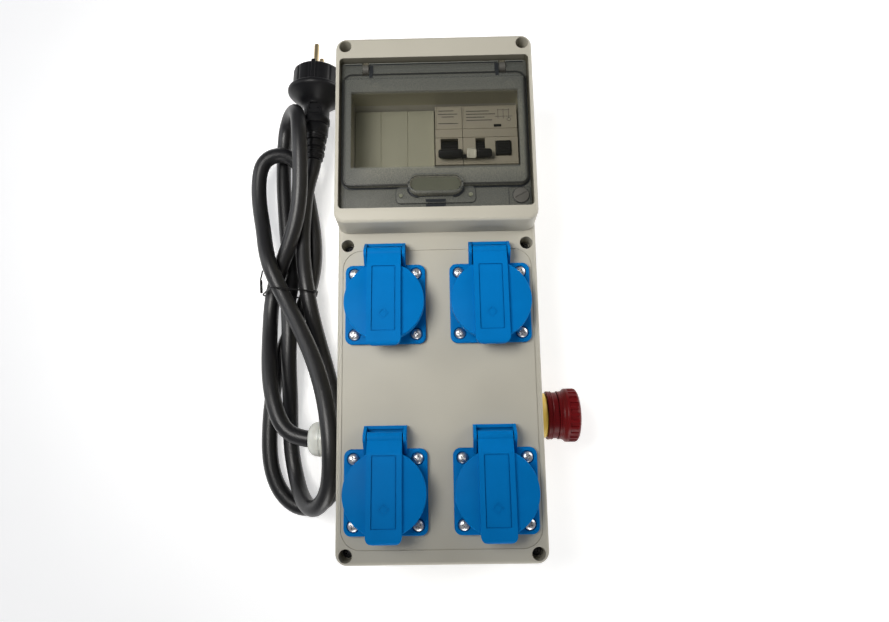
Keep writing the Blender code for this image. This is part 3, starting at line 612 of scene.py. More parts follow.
def lead():
    path = smooth_curve(CORD_ROUTE, 6)
    cord = wire("lead", path, CORD_RADIUS, CABLE, resolution=6)
    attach(cord, BASE)
    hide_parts("supply_cord")

    strands = ((-121.3, 10.6, 6.9), (-96.7, 7.8, 6.6), (-94.2, 19.1, 7.0), (-111.0, 29.5, 7.3))
    loop = hull([p for x, z, r in strands for p in circle(x, z, r, 36)])
    ring = [(x, 13.0 + 0.5 * math.sin(k * 0.4), z) for k, (x, z) in enumerate(loop)]
    tie = wire("tie_band", ring, 0.62, BLACK, resolution=3, cyclic=True)
    knot = []
    for k in range(90):
        a = k * 0.62
        coil_x, coil_z = 0.5 * math.cos(a), 1.1 * math.sin(a)
        knot.append((-127.9 - coil_x - 0.008 * k, 13.5 + 0.105 * k, 17.0 + coil_z))
    for k in range(8):
        knot.append((-128.9 + 0.25 * k, 23.4 + 0.9 * k, 17.2 + 0.25 * k))
    end = wire("tie_twist", knot, 0.5, BLACK, resolution=2)
    for part in (tie, end):
        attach(part, BASE)
    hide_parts("cord_tie")

    body = plug_body()
    for number, s in ((1, -1), (2, 1)):
        piece(f"pin_{number}", plug_pin(), BRASS, stands_for=[f"plug_pin_{number}"],
                          place=PLUG @ at(0, s * HOLE_Y, 0))


def plug_pin():
    return revolve([(1.9, 57), (1.9, 86.6), (1.7, 87.5), (1.1, 88.0), (0, 88.1)], 32)


def plug_body():
    """Moulded rubber plug: ribbed relief, waisted neck, sloped collar and fluted round nose."""
    relief = [(0, 0), (6.3, 0), (6.6, 3.2), (7.3, 3.6), (7.4, 5.8), (6.6, 6.3), (6.7, 8.6), (7.7, 9.0),
              (7.9, 11.4), (6.9, 11.9), (7.1, 14.2), (8.3, 14.6), (8.6, 17.0), (7.8, 17.6), (8.2, 19.0)]
    waist = [(9.2, 19.6), (9.5, 25.6), (9.1, 26.4), (8.6, 27.0), (9.9, 27.8), (10.3, 28.6), (10.3, 32.0),
             (9.9, 32.7), (9.6, 33.2), (9.6, 40.0), (10.6, 42.2)]
    collar = [(13.0, 44.0), (15.8, 46.2), (18.6, 48.6), (20.6, 50.4), (21.5, 51.4), (21.8, 52.4),
              (21.8, 53.7), (21.5, 54.4), (20.8, 54.9), (20.0, 55.1), (18.9, 55.2)]
    nose = [(18.35, 55.8), (18.35, 67.6), (18.1, 69.0), (17.2, 69.8), (15.0, 70.0), (0, 70.0)]

    def flute(angle, r, z):
        if z < 55.7 or z > 69.5 or r < 15:
            return r
        wave = 0.5 + 0.5 * math.cos(angle * 14)
        return r - 0.45 * wave ** 12

    body = temporary(revolve(relief + waist + collar + nose, 192, flute))
    for s in (-1, 1):
        minus(body, block(*span(s, 16.9, 20.0), -2.3, 2.3, 58.6, 72.0),
              block(*span(s, 12.5, 20.0), -2.3, 2.3, 68.4, 72.0))
    minus(body, *[slab(circle(0, s * HOLE_Y, 2.3, 40), 56, 71) for s in (-1, 1)])
    # A raised rib runs up the nose outside each pin. A panel with two moulding marks is let into the neck.
    for s in (1, -1):
        rib = (-1.5, 1.5, *span(s, 17.0, 19.1))
        plus(body, eased(lambda i: rounded(rib, 0.7, i, 4), 55.0, 70.6, 0.3))
    panel = [(-5.4, 33.8), (5.4, 33.8), (5.6, 37.5), (2.6, 41.6), (-2.6, 41.6), (-5.6, 37.5)]
    inner = [(x * 0.84, 37.2 + (z - 37.2) * 0.84) for x, z in panel]
    for s in (-1, 1):
        minus(body, block(-14.0, 14.0, *span(s, 8.3, 14.0), 33.4, 41.2),
              block(-14.0, 14.0, *span(s, 9.0, 14.0), 26.6, 33.0))
        for x in (-3.0, 3.0):
            mark = revolve([(0, 0), (0.8, 0), (0.8, 2.0), (0, 2.0)], 20)
            minus(body, moved(mark, at(x, s * 10.0, 37.6) @ turn(-90 * s, "X") @ at(0, 0, -2.6)))
        minus(body, moved(band(panel, inner, *span(-s, 8.0, 13.0)), turn(90, "X")))
    obj = piece("plug_shell", body, RUBBER, stands_for=["plug_body"], place=PLUG)
    contacts = []
    for s in (-1, 1):
        strip = [(16.6, 59.5), (17.1, 59.5), (17.1, 68.2), (16.8, 69.0), (13.0, 69.0), (13.0, 68.6),
                 (16.4, 68.5), (16.6, 68.0)]
        contacts.append(moved(slab([(s * x, z) for x, z in strip], -2.0, 2.0), turn(90, "X")))
    return [obj, piece("plug_earth_clips", merged(*contacts), STEEL, place=PLUG)]


# ---------------------------------------------------------------- enclosure

HALF_W = 62.5
HALF_L = 162.5
OUTLINE = (-HALF_W, HALF_W, -HALF_L, HALF_L)
CORNER = 7.0
WALL = 3.0
POSTS = [(s * 56.3, y) for y in (-156.8, 30.1, 156.8) for s in (-1, 1)]
WINDOW_HINGE = (144.0, 87.5)  # y and z of the window's pegs
SOCKETS = ((1, -32.3, -8.4), (2, 32.3, -8.4), (3, -32.3, -120.6), (4, 32.3, -120.6))
FIXING = 19.0  # from the middle of a socket to its screws, across and along
FIXINGS = (("a", -1, 1), ("b", 1, 1), ("c", -1, -1), ("d", 1, -1))


def rear_case():
    shell = temporary(eased(lambda i: rounded(OUTLINE, CORNER, i), 0.0, 55.0, 0.25))
    minus(shell, slab(rounded(OUTLINE, CORNER, WALL), 3.0, 60.0))
    minus(shell, along_x(slab(circle(-77.2, 34.0, 11.2, 48), 56.0, 66.0)))
    minus(shell, along_x(slab(circle(-90.4, 34.0, 10.3, 48), -66.0, -56.0)))
    # Keyhole slots and a shallow label panel on the back.
    for y in (-140.0, 140.0):
        minus(shell, slab(circle(0, y, 4.2, 40), -1, 0.8))
        minus(shell, slab(rounded((-2.2, 2.2, y, y + 11.0), 2.1, 0, 6), -1, 0.8))
    minus(shell, slab(rounded((-32, 32, -22, 22), 2.0, 0, 6), -1, 0.35))
    for x in (-48.0, 48.0):
        for y in (-146.0, 146.0):
            minus(shell, band(circle(x, y, 4.4, 40), circle(x, y, 3.6, 40), -1, 0.4))
    piece("case_shell", shell, GREY, stands_for=["rear_case"], ease=0.9)
    ribs = []
    for x, y in POSTS:
        ribs.append(moved(tube([(5.0, 2.9), (5.0, 54.4)], 1.6, 32), at(x, y, 0)))
    piece("case_posts", merged(*ribs), GREY)


def corner_layers(plan, foot_plan, z0, z1, roll):
    layers = [(rounded(foot_plan, CORNER), z0), (rounded(plan, CORNER), z1 - roll)]
    for k in range(1, 5):
        t = k / 4 * math.pi / 2
        layers.append((rounded(plan, CORNER, roll * (1 - math.cos(t))), z1 - roll * (1 - math.sin(t))))
    return layers


def front_cover():
    lower = (-HALF_W, HALF_W, -HALF_L, 75.0)
    raised = (-HALF_W, HALF_W, 39.6, HALF_L)
    foot = (-HALF_W, HALF_W, 35.8, HALF_L)
    cover = temporary(loft(corner_layers(lower, lower, 56.6, 76.0, 2.2)))
    plus(cover, loft(corner_layers(raised, foot, 56.6, 94.0, 2.2)))
    hollow = temporary(slab(rounded(OUTLINE, CORNER, WALL), 52.6, 73.4))
    plus(hollow, slab(rounded((-59.5, 59.5, 151.1, 159.5), 3.0), 70, 91.4))
    plus(hollow, slab(rounded((-59.5, 59.5, 42.2, 46.3), 1.5), 70, 91.4))
    minus(hollow, merged(*[slab(circle(x, y, 5.5, 32), 56.6, 94) for x, y in POSTS]))
    minus(hollow, slab(rounded((-57.4, 57.6, 79.0, 136.0), 2.0), 60.5, 76.0))
    minus(cover, as_bmesh(hollow))
    minus(cover, slab(rounded((-60.0, 60.0, 48.5, 148.7), 2.6), 76.0, 96.0))
    minus(cover, loft([(rounded((-54.4, 54.4, 82.0, 128.3), 0.8), 59.5),
                       (rounded((-55.2, 55.4, 81.0, 133.6), 1.2), 76.2)]))
    lug = [(141.0, 75.0), (149.7, 75.0), (149.7, 87.5)] + arc(*WINDOW_HINGE, 3.0, 0, 180, 16)
    plus(cover, both_sides(lug, 42.0, 45.6))
    minus(cover, both_sides(circle(*WINDOW_HINGE, 1.8, 24), 40.0, 47.5))
    groove = (-59.3, 59.3, -153.9, 26.6)
    minus(cover, band(rounded(groove, 12.0, 0, 16), rounded(groove, 12.0, 0.55, 16), 75.5, 77))
    minus(cover, merged(*[slab(circle(x, y, 4.0, 48), 62.0, 97.0) for x, y in POSTS]))
    minus(cover, merged(*[slab(circle(x, y, 2.1, 24), 54.6, 63.0) for x, y in POSTS]))
    minus(cover, merged(*[slab(circle(x, y, 22.3, 72), 71, 78) for _, x, y in SOCKETS]))
    minus(cover, merged(*[slab(circle(x + a * FIXING, y + b * FIXING, 1.6, 16), 71, 78)
                          for _, x, y in SOCKETS for _, a, b in FIXINGS]))
    piece("cover_shell", cover, COVER, stands_for=["front_cover"], ease=0.45)
    # The dark caps over the hinge lugs are painted shade.
    caps = [(140.9, 84.0), (149.0, 84.0), (147.1, 87.5)] + arc(*WINDOW_HINGE, 3.1, 0, 180, 16)
    piece("hinge_lugs", both_sides(caps, 41.9, 45.7), LUG)


def cover_screws():
    head = temporary(revolve([(0, 0), (3.2, 0), (3.25, 1.1), (2.9, 1.8), (2.1, 2.25), (0, 2.45)], 40))
    minus(head, phillips(2.1, 0.45, 1.0, 3.0))
    mesh = dress(settled(head), PIN)
    for number, (x, y) in enumerate(POSTS, 1):
        place = at(x, y, 62.3) @ turn(23 * number, "Z")
        piece(f"lid_screw_{number}", mesh, PIN, stands_for=[f"cover_screw_{number}"], place=place)


def phillips(reach, half, z0, z1):
    """A cross recess that tapers as it goes down."""
    arms = []
    for angle in (0, 90):
        layers = []
        for a, b, z in ((reach * 0.45, half * 0.7, z0), (reach, half, z1)):
            layers.append(([(-a, -b), (a, -b), (a, b), (-a, b)], z))
        arms.append(moved(loft(layers), turn(angle, "Z")))
    joined = temporary(arms[0])
    plus(joined, arms[1])
    return as_bmesh(joined)


# ---------------------------------------------------------------- window

def lug_slots():
    """Cutters for the slots that clear the two hinge lugs."""
    return merged(*[block(*span(s, 41.6, 46.0), 138.5, 149.0, 79.0, 95.0) for s in (-1, 1)])


def window():
    plate = (-59.4, 59.4, 49.2, 148.0)
    panel = (-57.9, 57.9, 63.0, 139.4)
    pull = (-17.2, 17.2, 56.8, 69.9)
    foot = (-24.6, 24.6, 52.4, 63.0)
    corner = (45.0, 58.6, 50.0, 62.0)
    lock_x, lock_y = 52.6, 56.6

    def pull_plan(inset):
        return rounded(pull, 6.4, inset, 16)

    cover = temporary(eased(lambda i: rounded(plate, 2.4, i), 81.0, 89.0, 0.7))
    plus(cover, eased(lambda i: rounded(panel, 5.5, i), 88.0, 92.3, 0.9))
    plus(cover, eased(lambda i: rounded(foot, 3.0, i), 88.0, 90.1, 0.4))
    plus(cover, eased(pull_plan, 88.0, 95.6, 1.0))
    # The panel steps down next to the hinge, so that it passes the frame as the window opens.
    step = [(134.7, 92.4), (136.2, 90.7), (140.5, 90.7), (140.5, 94.0), (134.7, 94.0)]
    minus(cover, along_x(slab(step, -60.0, 60.0)))
    minus(cover, slab(rounded(plate, 2.4, 2.0), 79.0, 86.8))
    minus(cover, slab(rounded(panel, 5.5, 2.0), 85.8, 90.3))
    minus(cover, slab(pull_plan(2.0), 85.8, 93.6))
    minus(cover, lug_slots())
    plus(cover, merged(*[block(*span(s, 39.4, 41.6), 141.0, 146.1, 84.3, 88.4) for s in (-1, 1)]))
    plus(cover, both_sides(circle(*WINDOW_HINGE, 1.4, 24), 41.0, 44.9))
    piece("window_sheet", cover, SMOKED, body="window", stands_for=["window_cover"], ease=0.25)

    edge = temporary(band(rounded(panel, 5.5, -0.9), rounded(panel, 5.5, 0.3), 89.0, 89.12))
    minus(edge, lug_slots())
    lines = [
        as_bmesh(edge),
        band(pull_plan(-0.4), pull_plan(0.1), 90.1, 90.22),
        band(circle(lock_x, lock_y, 5.25, 48), circle(lock_x, lock_y, 4.95, 48), 89.0, 89.1),
        band(rounded(corner, 0.6, 0, 4), rounded(corner, 0.6, 0.3, 4), 89.0, 89.1),
        band(rounded(foot, 3.0, -0.3), rounded(foot, 3.0, 0.1), 89.0, 89.1),
        block(-6.3, 6.1, 49.9, 52.0, 89.0, 89.12),
        block(-6.3, 6.1, 52.9, 54.8, 90.1, 90.2),
    ]
    for x0, x1 in ((-57.0, -46.2), (-41.4, 41.4), (46.2, 57.0)):
        lines.append(block(x0, x1, 146.3, 147.0, 89.0, 89.1))
    for s in (-1, 1):
        lines.append(block(*span(s, 39.2, 41.3), 136.6, 139.0, 90.7, 90.8))
        lines.append(block(*span(s, 38.9, 41.4), 140.3, 146.0, 89.0, 89.12))
    piece("window_outlines", merged(*lines), SMOKED_EDGE, body="window")
    # Painted shade: a dark band round the lower half of the pull, where its lower wall lies in shadow.
    lip = [p for p in pull_plan(-1.1) if p[1] < 61.5] + [p for p in pull_plan(0.3) if p[1] < 61.5][::-1]
    piece("window_pull_shade", slab(lip, 90.15, 91.0), SMOKED_EDGE, body="window")
    stud = [(0, 0), (1.4, 0), (1.4, 1.6), (1.1, 2.0), (0, 2.0)]
    studs = [moved(revolve(stud, 32), at(s * 21.6, 57.4, 88.6)) for s in (-1, 1)]
    piece("window_bosses", merged(*studs), OLIVE, body="window")
    piece("window_pull_backing", slab(pull_plan(2.3), 92.7, 93.1), OLIVE, body="window")
    latch = temporary(eased(lambda i: rounded((-5.0, 6.0, 50.6, 54.8), 0.6, i, 4), 82.0, 86.7, 0.3))
    minus(latch, block(-3.6, 4.6, 50.0, 52.0, 81.0, 84.0))
    piece("window_latch", latch, BLACK, body="window")
    lock = temporary(eased(lambda i: circle(lock_x, lock_y, 4.9 - i, 48), 88.9, 89.9, 0.3))
    minus(lock, moved(block(-4.0, 4.0, -0.5, 0.5, 89.4, 91), at(lock_x, lock_y, 0) @ turn(28, "Z")))
    piece("window_lock", lock, LUG, body="window")


# ---------------------------------------------------------------- breaker bay

TOGGLE_AXIS = (94.5, 69.3)  # y and z
TOGGLE = at(0, *TOGGLE_AXIS) @ turn(35, "X")
FACE_Y = 116.4  # the middle of the devices' printed face
FACE_TILT = turn(-3.6, "X")


def bay():
    strip_x = [-54.05, -36.4, -18.4, -0.65]
    strips = temporary(block(strip_x[0], strip_x[-1], 82.3, 128.1, 60.8, 62.6))
    for x in strip_x[1:-1]:
        minus(strips, slab([(x - 0.3, 70), (x + 0.3, 70), (x + 0.3, 140), (x - 0.3, 140)], 62.1, 64))
    minus(strips, *[block(strip_x[k] + 1.5, strip_x[k + 1] - 1.5, 83.4, 84.2, 62.25, 64) for k in range(3)])
    piece("bay_blanks", strips, BLANK, stands_for=["blanking_strip"], ease=0.15)
    finish_node("din_rail", STEEL)
    soften(NODES["din_rail"], 0.2)
    device("single", 0.1, 17.8, "mcb_body", (3.6, 15.0))
    device("double", 18.1, 53.7, "rcd_body", (26.2, 32.4))
    details()


def device(name, x0, x1, node, pocket):
    """A breaker body on the rail, as many modules wide as fit between x0 and x1."""
    y, z = 104.5, 15.5
    side = [(y - 42.5, z - 5), (y - 15.5, z - 5), (y - 15.5, z - 1.4), (y - 17.9, z - 1.4),
            (y - 17.9, z + 0.3), (y + 17.9, z + 0.3), (y + 17.9, z - 1.4), (y + 15.5, z - 1.4),
            (y + 15.5, z - 5), (y + 42.5, z - 5), (y + 42.5, z + 33), (y + 39.5, z + 43.8),
            (y + 22.2, z + 43.8), (y + 20.2, 74.0), (y + 4.4, 75.0), (y - 2.6, 76.0), (y - 21.3, 76.0),
            (y - 22.2, z + 43.8), (y - 39.5, z + 43.8), (y - 42.5, z + 33)]
    body = temporary(along_x(slab(side, x0, x1)))
    slot = arc(*TOGGLE_AXIS, 7.4, 180, 360, 32)
    slot += [(101.9, 71.0), (101.1, 72.5), (101.1, 78.3), (87.5, 78.3), (87.5, 72.5), (87.1, 71.0)]
    minus(body, along_x(slab(slot, *pocket)))
    plate = block(x0 + 0.9, x1 - 0.9, -7.6, 7.6, -0.25, 3.0)
    minus(body, moved(plate, at(0, FACE_Y, 74.5) @ FACE_TILT))
    minus(body, block(x0 - 1, x1 + 1, 101.5, 101.95, 75.3, 78))
    minus(body, block(x0 - 1, x1 + 1, 107.7, 108.4, 74.5, 78))
    minus(body, block(x0 + 0.6, x1 - 0.6, 83.6, 84.4, 75.7, 78))
    terminals = [(x0 + 8.85 + 17.9 * k, y + dy) for k in range(int((x1 - x0) // 17)) for dy in (-31.0, 31.0)]
    for cx, cy in terminals:
        minus(body, slab(circle(cx, cy, 3.4, 32), 56.0, 62.0))
    if name == "double":
        minus(body, block(39.0, 49.4, 88.6, 99.0, 68.0, 80.0))
        minus(body, moved(block(-2.6, 2.6, -1.0, 1.0, -0.5, 2.0), at(41.0, 110.4, 74.9) @ FACE_TILT))
    piece(f"{name}_device", body, INNER, stands_for=[node], ease=0.3)
    profile = [(0, 55.9), (3.0, 55.9), (3.0, 57.4), (2.4, 57.9), (0, 57.9)]
    screws = [moved(revolve(profile, 32), at(cx, cy, 0)) for cx, cy in terminals]
    piece(f"{name}_terminal_screws", merged(*screws), STEEL)


def details():
    """Plain rules and bars where the devices carry their small print, and an indicator flag."""
    depth = 0.05
    bars = []

    def add(shape, x, y, z):
        bars.append(moved(shape, at(x, y, z) @ FACE_TILT))

    def bar(x, y, width, height):
        add(block(0, width, -height / 2, height / 2, 0.0, depth), x, y, 74.27 + (FACE_Y - y) * 0.063)

    for y, x, width in ((121.6, 2.4, 10.0), (119.2, 2.2, 12.6), (117.2, 4.4, 8.0), (112.4, 2.2, 13.0),
                        (121.0, 20.6, 15.0), (118.8, 20.6, 19.0), (116.6, 20.6, 12.0), (114.4, 20.6, 17.0)):
        bar(x, y, width, 0.55)
    for x in (41.5, 45.0, 48.5):
        add(block(-0.12, 0.12, -3.6, 3.6, 0, depth), x, 118.8, 74.13)
    bar(39.5, 116.9, 11.5, 0.25)
    bar(41.0, 121.6, 8.0, 0.25)
    add(band(circle(0, 0, 1.3, 24), circle(0, 0, 1.05, 24), 0, depth), 48.5, 114.7, 74.4)
    piece("device_rules", merged(*bars), INK)
    flag = eased(lambda i: rounded((-2.4, 2.4, -0.85, 0.85), 0.2, i, 3), -0.45, 0.0, 0.1)
    piece("trip_flag", moved(flag, at(41.0, 110.4, 74.8) @ FACE_TILT), BLACK)


def lever(name, drum, neck, grip, node, body):
    """A toggle drawn with its axis along X. The one-module toggle has a peg that drives the link."""
    obj = temporary(along_x(slab(circle(0, 0, 7.0, 64), *drum)))
    plus(obj, block(*neck, -1.3, 1.3, 4.0, 13.5))
    plus(obj, eased(lambda i: rounded((*grip, -1.0, 4.6), 1.8, i, 6), 11.5, 15.2, 1.1, foot=True))
    if name == "single_toggle":
        plus(obj, block(17.0, 19.9, -1.2, 1.2, 12.6, 14.6))
    piece(name, obj, BLACK, body=body, stands_for=[node], ease=0.3, place=TOGGLE)
    teeth = []
    for k in range(7):
        tooth = [(-0.35, 6.8), (0.35, 6.8), (0.25, 7.25), (-0.25, 7.25)]
        teeth.append(moved(along_x(slab(tooth, drum[0] + 0.4, drum[1] - 0.4)), turn(20 * k - 60, "X")))
    piece(f"{name}_ridges", merged(*teeth), BLACK, body=body, place=TOGGLE)


def toggles():
    lever("single_toggle", (4.0, 14.6), (4.5, 14.1), (1.9, 17.6), "mcb_toggle", "mcb_lever")
    lever("double_toggle", (26.6, 32.0), (26.9, 31.7), (26.6, 36.2), "rcd_toggle", "rcd_lever")
    link_plan = (20.2, 26.3, -0.9, 4.8)
    link = temporary(eased(lambda i: rounded(link_plan, 1.0, i, 6), 11.4, 15.4, 0.5, foot=True))
    minus(link, block(21.6, 24.8, -3.0, 6.0, 14.9, 17.0))
    piece("link_bar", link, WHITE, body="lever_link", stands_for=["toggle_link"], ease=0.15, place=TOGGLE)
    button = temporary(eased(lambda i: rounded((39.4, 49.0, 89.0, 98.6), 0.8, i, 4), 70.3, 77.6, 0.5))
    minus(button, *[block(40.6, 47.8, 90.4 + 1.7 * k, 90.9 + 1.7 * k, 77.3, 79) for k in range(5)])
    piece("test_key_cap", button, BLACK, body="test_key", stands_for=["test_button"], ease=0.12)


# ---------------------------------------------------------------- sockets

LID_TOP = 14.3
FACE_Z = 76.0  # the face that the sockets stand on
HINGE = (31.2, 8.4)  # y and z of a lid's pin, from the middle of its socket
TILT = math.radians(5.0)


def tilted(bm):
    return moved(bm, turn(-5.0, "X"))


def socket_body():
    flange = (-24.8, 24.8, -24.8, 24.8)
    floor = LID_TOP - 20.5
    body = temporary(eased(lambda i: rounded(flange, 4.5, i), 0.3, 3.3, 0.7))
    plus(body, slab(circle(0, 0, 21.3, 96), -32.0, 16.0))
    minus(body, tilted(block(-40, 40, -40, 40, LID_TOP - 3.0, 40)))
    knuckle = arc(*HINGE, 3.4, 30, 150, 16)
    cheek = [(21.8, 0.4), (38.0, 0.4), (38.4, 0.9), (38.4, 4.4)] + knuckle + [(21.8, 5.6)]
    bridge = [(21.8, 0.4), (38.0, 0.4), (38.4, 0.9), (38.4, 4.1), (38.1, 4.4), (36.4, 4.4), (36.4, 1.9),
              (21.8, 1.9)]
    plus(body, along_x(slab(bridge, -12.0, 12.0)))
    plus(body, both_sides(cheek, 10.9, 12.7))
    corners = [(a * FIXING, b * FIXING) for a in (-1, 1) for b in (-1, 1)]
    minus(body, merged(*[slab(circle(cx, cy, 3.9, 48), 2.1, 6.0) for cx, cy in corners]))
    minus(body, merged(*[slab(circle(cx, cy, 1.9, 24), -2.0, 3.0) for cx, cy in corners]))
    minus(body, slab(circle(0, 0, 19.6, 96), floor, 20.0))
    holes = []
    for s in (-1, 1):
        hole, mouth = circle(s * HOLE_Y, 0, 2.75, 32), circle(s * HOLE_Y, 0, 3.8, 32)
        holes.append(loft([(hole, -24.0), (hole, -7.2), (mouth, -6.0)]))
    minus(body, merged(*holes))
    # Keys on the wall guide the plug, and a slot between each two takes an earth clip.
    keys = [block(*span(s, 17.9, 20.2), *span(t, 2.9, 4.5), floor, 5.0) for t in (-1, 1) for s in (-1, 1)]
    plus(body, merged(*keys))
    minus(body, merged(*[block(-3.0, 3.0, *span(s, 18.6, 20.2), floor, 6.0) for s in (-1, 1)]))
    minus(body, along_x(slab(circle(*HINGE, 1.55, 24), -15.0, 15.0)))
    return dress(settled(body), BLUE)


def disc_plan(radius, sides):
    """The lid's disc sits a little below the middle of the socket."""
    return circle(0, -1.0, radius, sides)


def socket_lid():
    lid = temporary(tilted(eased(lambda i: disc_plan(24.2 - i, 120), LID_TOP - 5.4, LID_TOP, 0.6)))
    minus(lid, tilted(slab(disc_plan(22.1, 96), LID_TOP - 8.0, LID_TOP - 2.6)))
    slope = math.tan(TILT)
    near, far, top = 22.0, -24.6, 14.9
    side = [(-27.2, 14.6), (-24.0, 13.9), (22.0, 13.9 - 46.0 * slope), (27.2, 7.2)]
    side += arc(*HINGE, 3.6, 230, 470, 24)
    side += [(near + 1.2, top - 0.45), (near + 0.4, top - 0.06), (near - 0.6, top + 0.6 * slope),
             (far, top + (near - far) * slope), (-25.6, 18.8), (-26.6, 18.2), (-27.2, 17.0)]
    strap = temporary(along_x(slab(side, -13.0, 13.0)))
    boolean(strap, "INTERSECT", slab(rounded((-10.25, 10.25, -27.2, 45.0), 4.2), 0.0, 30.0))
    plus(lid, as_bmesh(strap))
    height = (top + near * slope) * math.cos(TILT)

    def inset(depth):
        return rounded((-7.2, 7.2, -20.2, 20.2), 0.7, depth, 4)

    minus(lid, tilted(slab(inset(0), height - 0.5, height + 3)))
    minus(lid, tilted(band(inset(0), inset(0.45), height - 1.0, height - 0.4)))
    # A plain moulded lozenge fills the middle of the strap.
    mark = band(circle(0, -9.5, 3.2, 4), circle(0, -9.5, 2.7, 4), height - 0.8, height - 0.2)
    plus(lid, tilted(mark))
    minus(lid, along_x(slab(circle(*HINGE, 1.55, 24), -15.0, 15.0)))
    # Finger ridges under the tab.
    ridges = [block(-7.5, 7.5, -26.6 + 1.1 * k, -26.1 + 1.1 * k, 13.4, 14.9) for k in range(2)]
    plus(lid, merged(*ridges))
    return dress(settled(lid), BLUE)


def lid_seal():
    ring = band(disc_plan(21.9, 72), disc_plan(20.0, 72), LID_TOP - 2.95, LID_TOP - 2.5)
    return dress(settled(temporary(tilted(ring))), SEAL)


def socket_screw():
    profile = [(1.2, -6.0), (1.2, 0), (3.2, 0), (3.35, 0.5), (3.15, 1.2), (2.6, 1.8), (1.6, 2.2), (0, 2.35)]
    head = temporary(revolve(profile, 48))
    minus(head, phillips(2.15, 0.45, 0.7, 2.9))
    return dress(settled(head), STEEL)


def contacts():
    """Two bent earth clips and the sprung contacts behind the two holes."""
    strip = [(19.0, -6.0), (19.4, -6.0), (19.3, 2.0), (18.0, 6.5), (18.8, 9.4), (18.4, 9.6), (17.4, 6.4),
             (18.8, 1.8)]
    parts = []
    for s in (-1, 1):
        parts.append(moved(slab([(s * x, z) for x, z in strip], -2.2, 2.2), turn(90, "X")))
        parts.append(moved(tube([(2.6, -22.0), (2.6, -10.0)], 2.3, 32), at(s * HOLE_Y, 0, 0)))
    return dress(settled(temporary(merged(*parts))), BRASS)


def hinge_pin():
    profile = [(0, -12.4), (1.1, -12.4), (1.25, -12.2), (1.25, 12.2), (1.1, 12.4), (0, 12.4)]
    return dress(settled(temporary(moved(revolve(profile, 32), turn(90, "Y")))), PIN)


def sockets():
    body, lid, seal, screw, clips = socket_body(), socket_lid(), lid_seal(), socket_screw(), contacts()
    pin = hinge_pin()
    for number, x, y in SOCKETS:
        place = at(x, y, FACE_Z)
        moving = f"lid_{number}"
        piece(f"socket_{number}", body, BLUE, stands_for=[f"socket_body_{number}"], ease=0.25, place=place)
        piece(f"socket_{number}_contacts", clips, BRASS, place=place)
        piece(f"flap_{number}", lid, BLUE, body=moving, stands_for=[f"socket_lid_{number}"], ease=0.4,
              place=place)
        piece(f"flap_{number}_seal", seal, SEAL, body=moving, place=place)
        piece(f"flap_{number}_pin", pin, PIN, stands_for=[f"socket_lid_pin_{number}"],
              place=place @ at(0, *HINGE))
        for k, (letter, a, b) in enumerate(FIXINGS):
            screw_place = place @ at(a * FIXING, b * FIXING, 2.4) @ turn(37 * number + 61 * k, "Z")
            piece(f"fixing_{number}{letter}", screw, STEEL, stands_for=[f"socket_screw_{number}{letter}"],
                  place=screw_place)


# ---------------------------------------------------------------- emergency stop and gland

STOP = at(62.5, -77.2, 34.0) @ turn(90, "Y")
GLAND = at(-62.5, -90.4, 34.0) @ turn(-90, "Y")


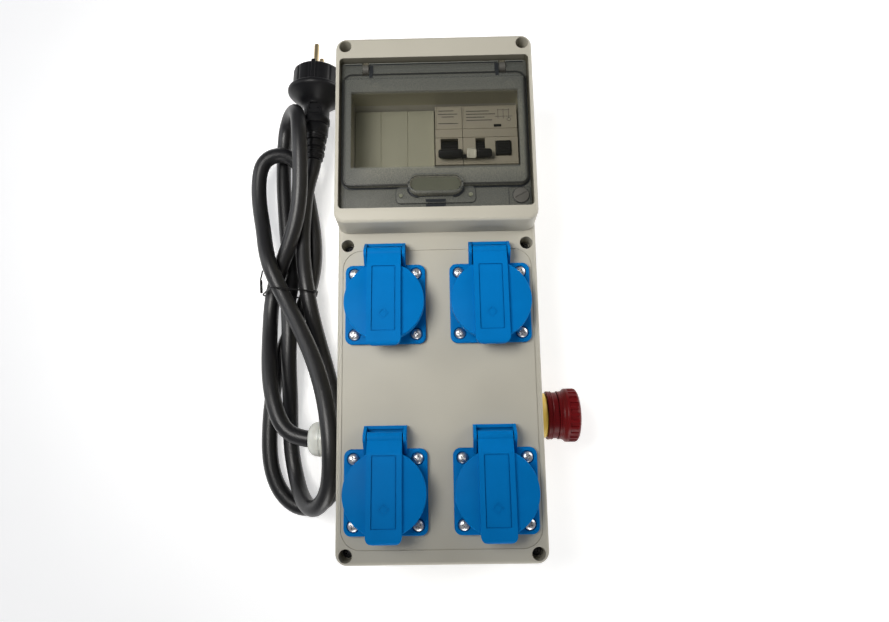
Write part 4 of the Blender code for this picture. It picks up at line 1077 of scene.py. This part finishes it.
def emergency_stop():
    ring = tube([(14.4, 0.3), (14.8, 0.7), (14.8, 6.4), (14.4, 7.0), (13.8, 7.4)], 11.0)
    piece("stop_ring", ring, YELLOW, stands_for=["estop_ring"], place=STOP)
    collar = [(10.7, -20), (10.7, 7.7), (15.5, 7.7), (15.9, 8.0), (15.9, 9.4), (15.6, 9.7), (15.6, 10.3),
              (15.9, 10.6), (15.9, 11.0), (15.7, 11.3), (15.2, 11.4), (15.2, 14.4), (15.0, 14.6)]
    piece("stop_collar", tube(collar, 5.4, 120), RED, stands_for=["estop_body"], place=STOP)
    threads = [tube([(10.7, z), (11.0, z + 0.5), (10.7, z + 1.0)], 10.5, 64)
               for z in np.arange(-19.0, -9.0, 1.5)]
    piece("stop_threads", merged(*threads), BLACK, place=STOP)
    rod = revolve([(0, -17), (5.0, -17), (5.0, 21), (0, 21)], 48)
    piece("stop_rod", rod, BLACK, body="stop_stem", stands_for=["estop_stem"], place=STOP)

    def grip(angle, r, z):
        part = (angle / (2 * math.pi) * 24) % 1.0
        if not 21.4 < z < 26.9 or not 0.2 < part < 0.8:
            return r
        return r - (0.75 if z < 26.0 else 0.375)

    shape = [(15.5, 14.8), (15.9, 15.1), (15.9, 15.9), (15.6, 16.2), (15.6, 16.9), (15.9, 17.2), (16.0, 17.9),
             (16.6, 18.8), (17.4, 19.5), (17.6, 20.0), (17.6, 21.35), (17.6, 21.5), (17.6, 25.9),
             (17.45, 26.6), (17.2, 27.0), (16.6, 27.6), (15.6, 28.2), (13.4, 28.8), (10.0, 29.3), (6.0, 29.6),
             (0, 29.75)]
    head = temporary(revolve(shape, 288, grip))
    minus(head, slab(circle(0, 0, 15.35, 96), 12.0, 18.4))
    minus(head, slab(circle(0, 0, 5.4, 48), 15.0, 21.3))
    # Turning arrows are let into the face.
    tip = [(6.9, 0.0), (11.3, 0.0), (9.1, 4.2)]
    for start in (15, 135, 255):
        end = start + 70
        inner, outer = arc(0, 0, 8.4, start, end, 14), arc(0, 0, 9.8, start, end, 14)
        minus(head, slab(outer + inner[::-1], 28.9, 31.0))
        minus(head, moved(slab(tip, 28.8, 31.0), turn(end, "Z")))
    piece("stop_mushroom", head, RED, body="stop_head", stands_for=["estop_head"], place=STOP)
    nut = tube([(14.6, -8.0), (14.6, -3.3)], 11.0, 6)
    piece("stop_locknut", nut, BLACK, stands_for=["estop_nut"], place=STOP, ease=0.3)
    switch = temporary(eased(lambda i: rounded((-17.0, 17.0, -14.0, 14.0), 1.5, i, 4), -48.0, -21.0, 0.5))
    for x in (-9.0, 9.0):
        minus(switch, slab(circle(x, 0, 2.6, 32), -49, -46))
    minus(switch, block(-0.4, 0.4, -15, 15, -30.0, -20.0))
    piece("stop_contacts", switch, BLACK, stands_for=["estop_contact_block"], place=STOP)


def cable_gland():
    def ribs(angle, r, z):
        return r + (0.22 * max(0.0, math.cos(angle * 10)) ** 6 if 8.5 < z < 21.0 and r > 11 else 0.0)

    cap = [(12.2, 7.0), (12.2, 8.2), (12.0, 8.6), (12.1, 12.0), (12.05, 15.0), (11.95, 15.8), (11.4, 16.1),
           (11.3, 17.0), (11.6, 17.3), (11.5, 19.0), (11.0, 21.0), (10.2, 22.8), (8.6, 24.3), (7.6, 24.8),
           (6.6, 24.9)]
    dome = temporary(revolve(cap, 120, ribs))
    minus(dome, slab(circle(0, 0, 10.2, 64), 5.0, 13.4))
    minus(dome, slab(circle(0, 0, 6.2, 64), 12.0, 26.0))
    piece("gland_dome", dome, NYLON, stands_for=["gland_cap"], place=GLAND)
    base = temporary(eased(lambda i: circle(0, 0, 13.6 - i, 6), 0.3, 6.6, 0.5, foot=True))
    boolean(base, "INTERSECT", eased(lambda i: circle(0, 0, 12.9 - i, 72), 0.2, 6.7, 0.9, foot=True))
    plus(base, slab(circle(0, 0, 9.8, 64), -10.0, 13.0))
    minus(base, slab(circle(0, 0, 6.1, 64), -12.0, 15.0))
    piece("gland_base", base, NYLON, stands_for=["gland_body"], place=GLAND)
    grip = tube([(5.9, 16.0), (6.1, 16.2), (6.1, 24.0), (5.8, 24.6)], 5.56, 64)
    piece("gland_grommet", grip, RUBBER, place=GLAND)
    nut = tube([(13.4, -8.0), (13.4, -3.3)], 10.1, 6)
    piece("gland_backnut", nut, NYLON, stands_for=["gland_locknut"], place=GLAND, ease=0.3)


# ---------------------------------------------------------------- assembly

lead()
rear_case()
front_cover()
cover_screws()
window()
bay()
toggles()
sockets()
emergency_stop()
cable_gland()
finish_node("case_gasket", SEAL)
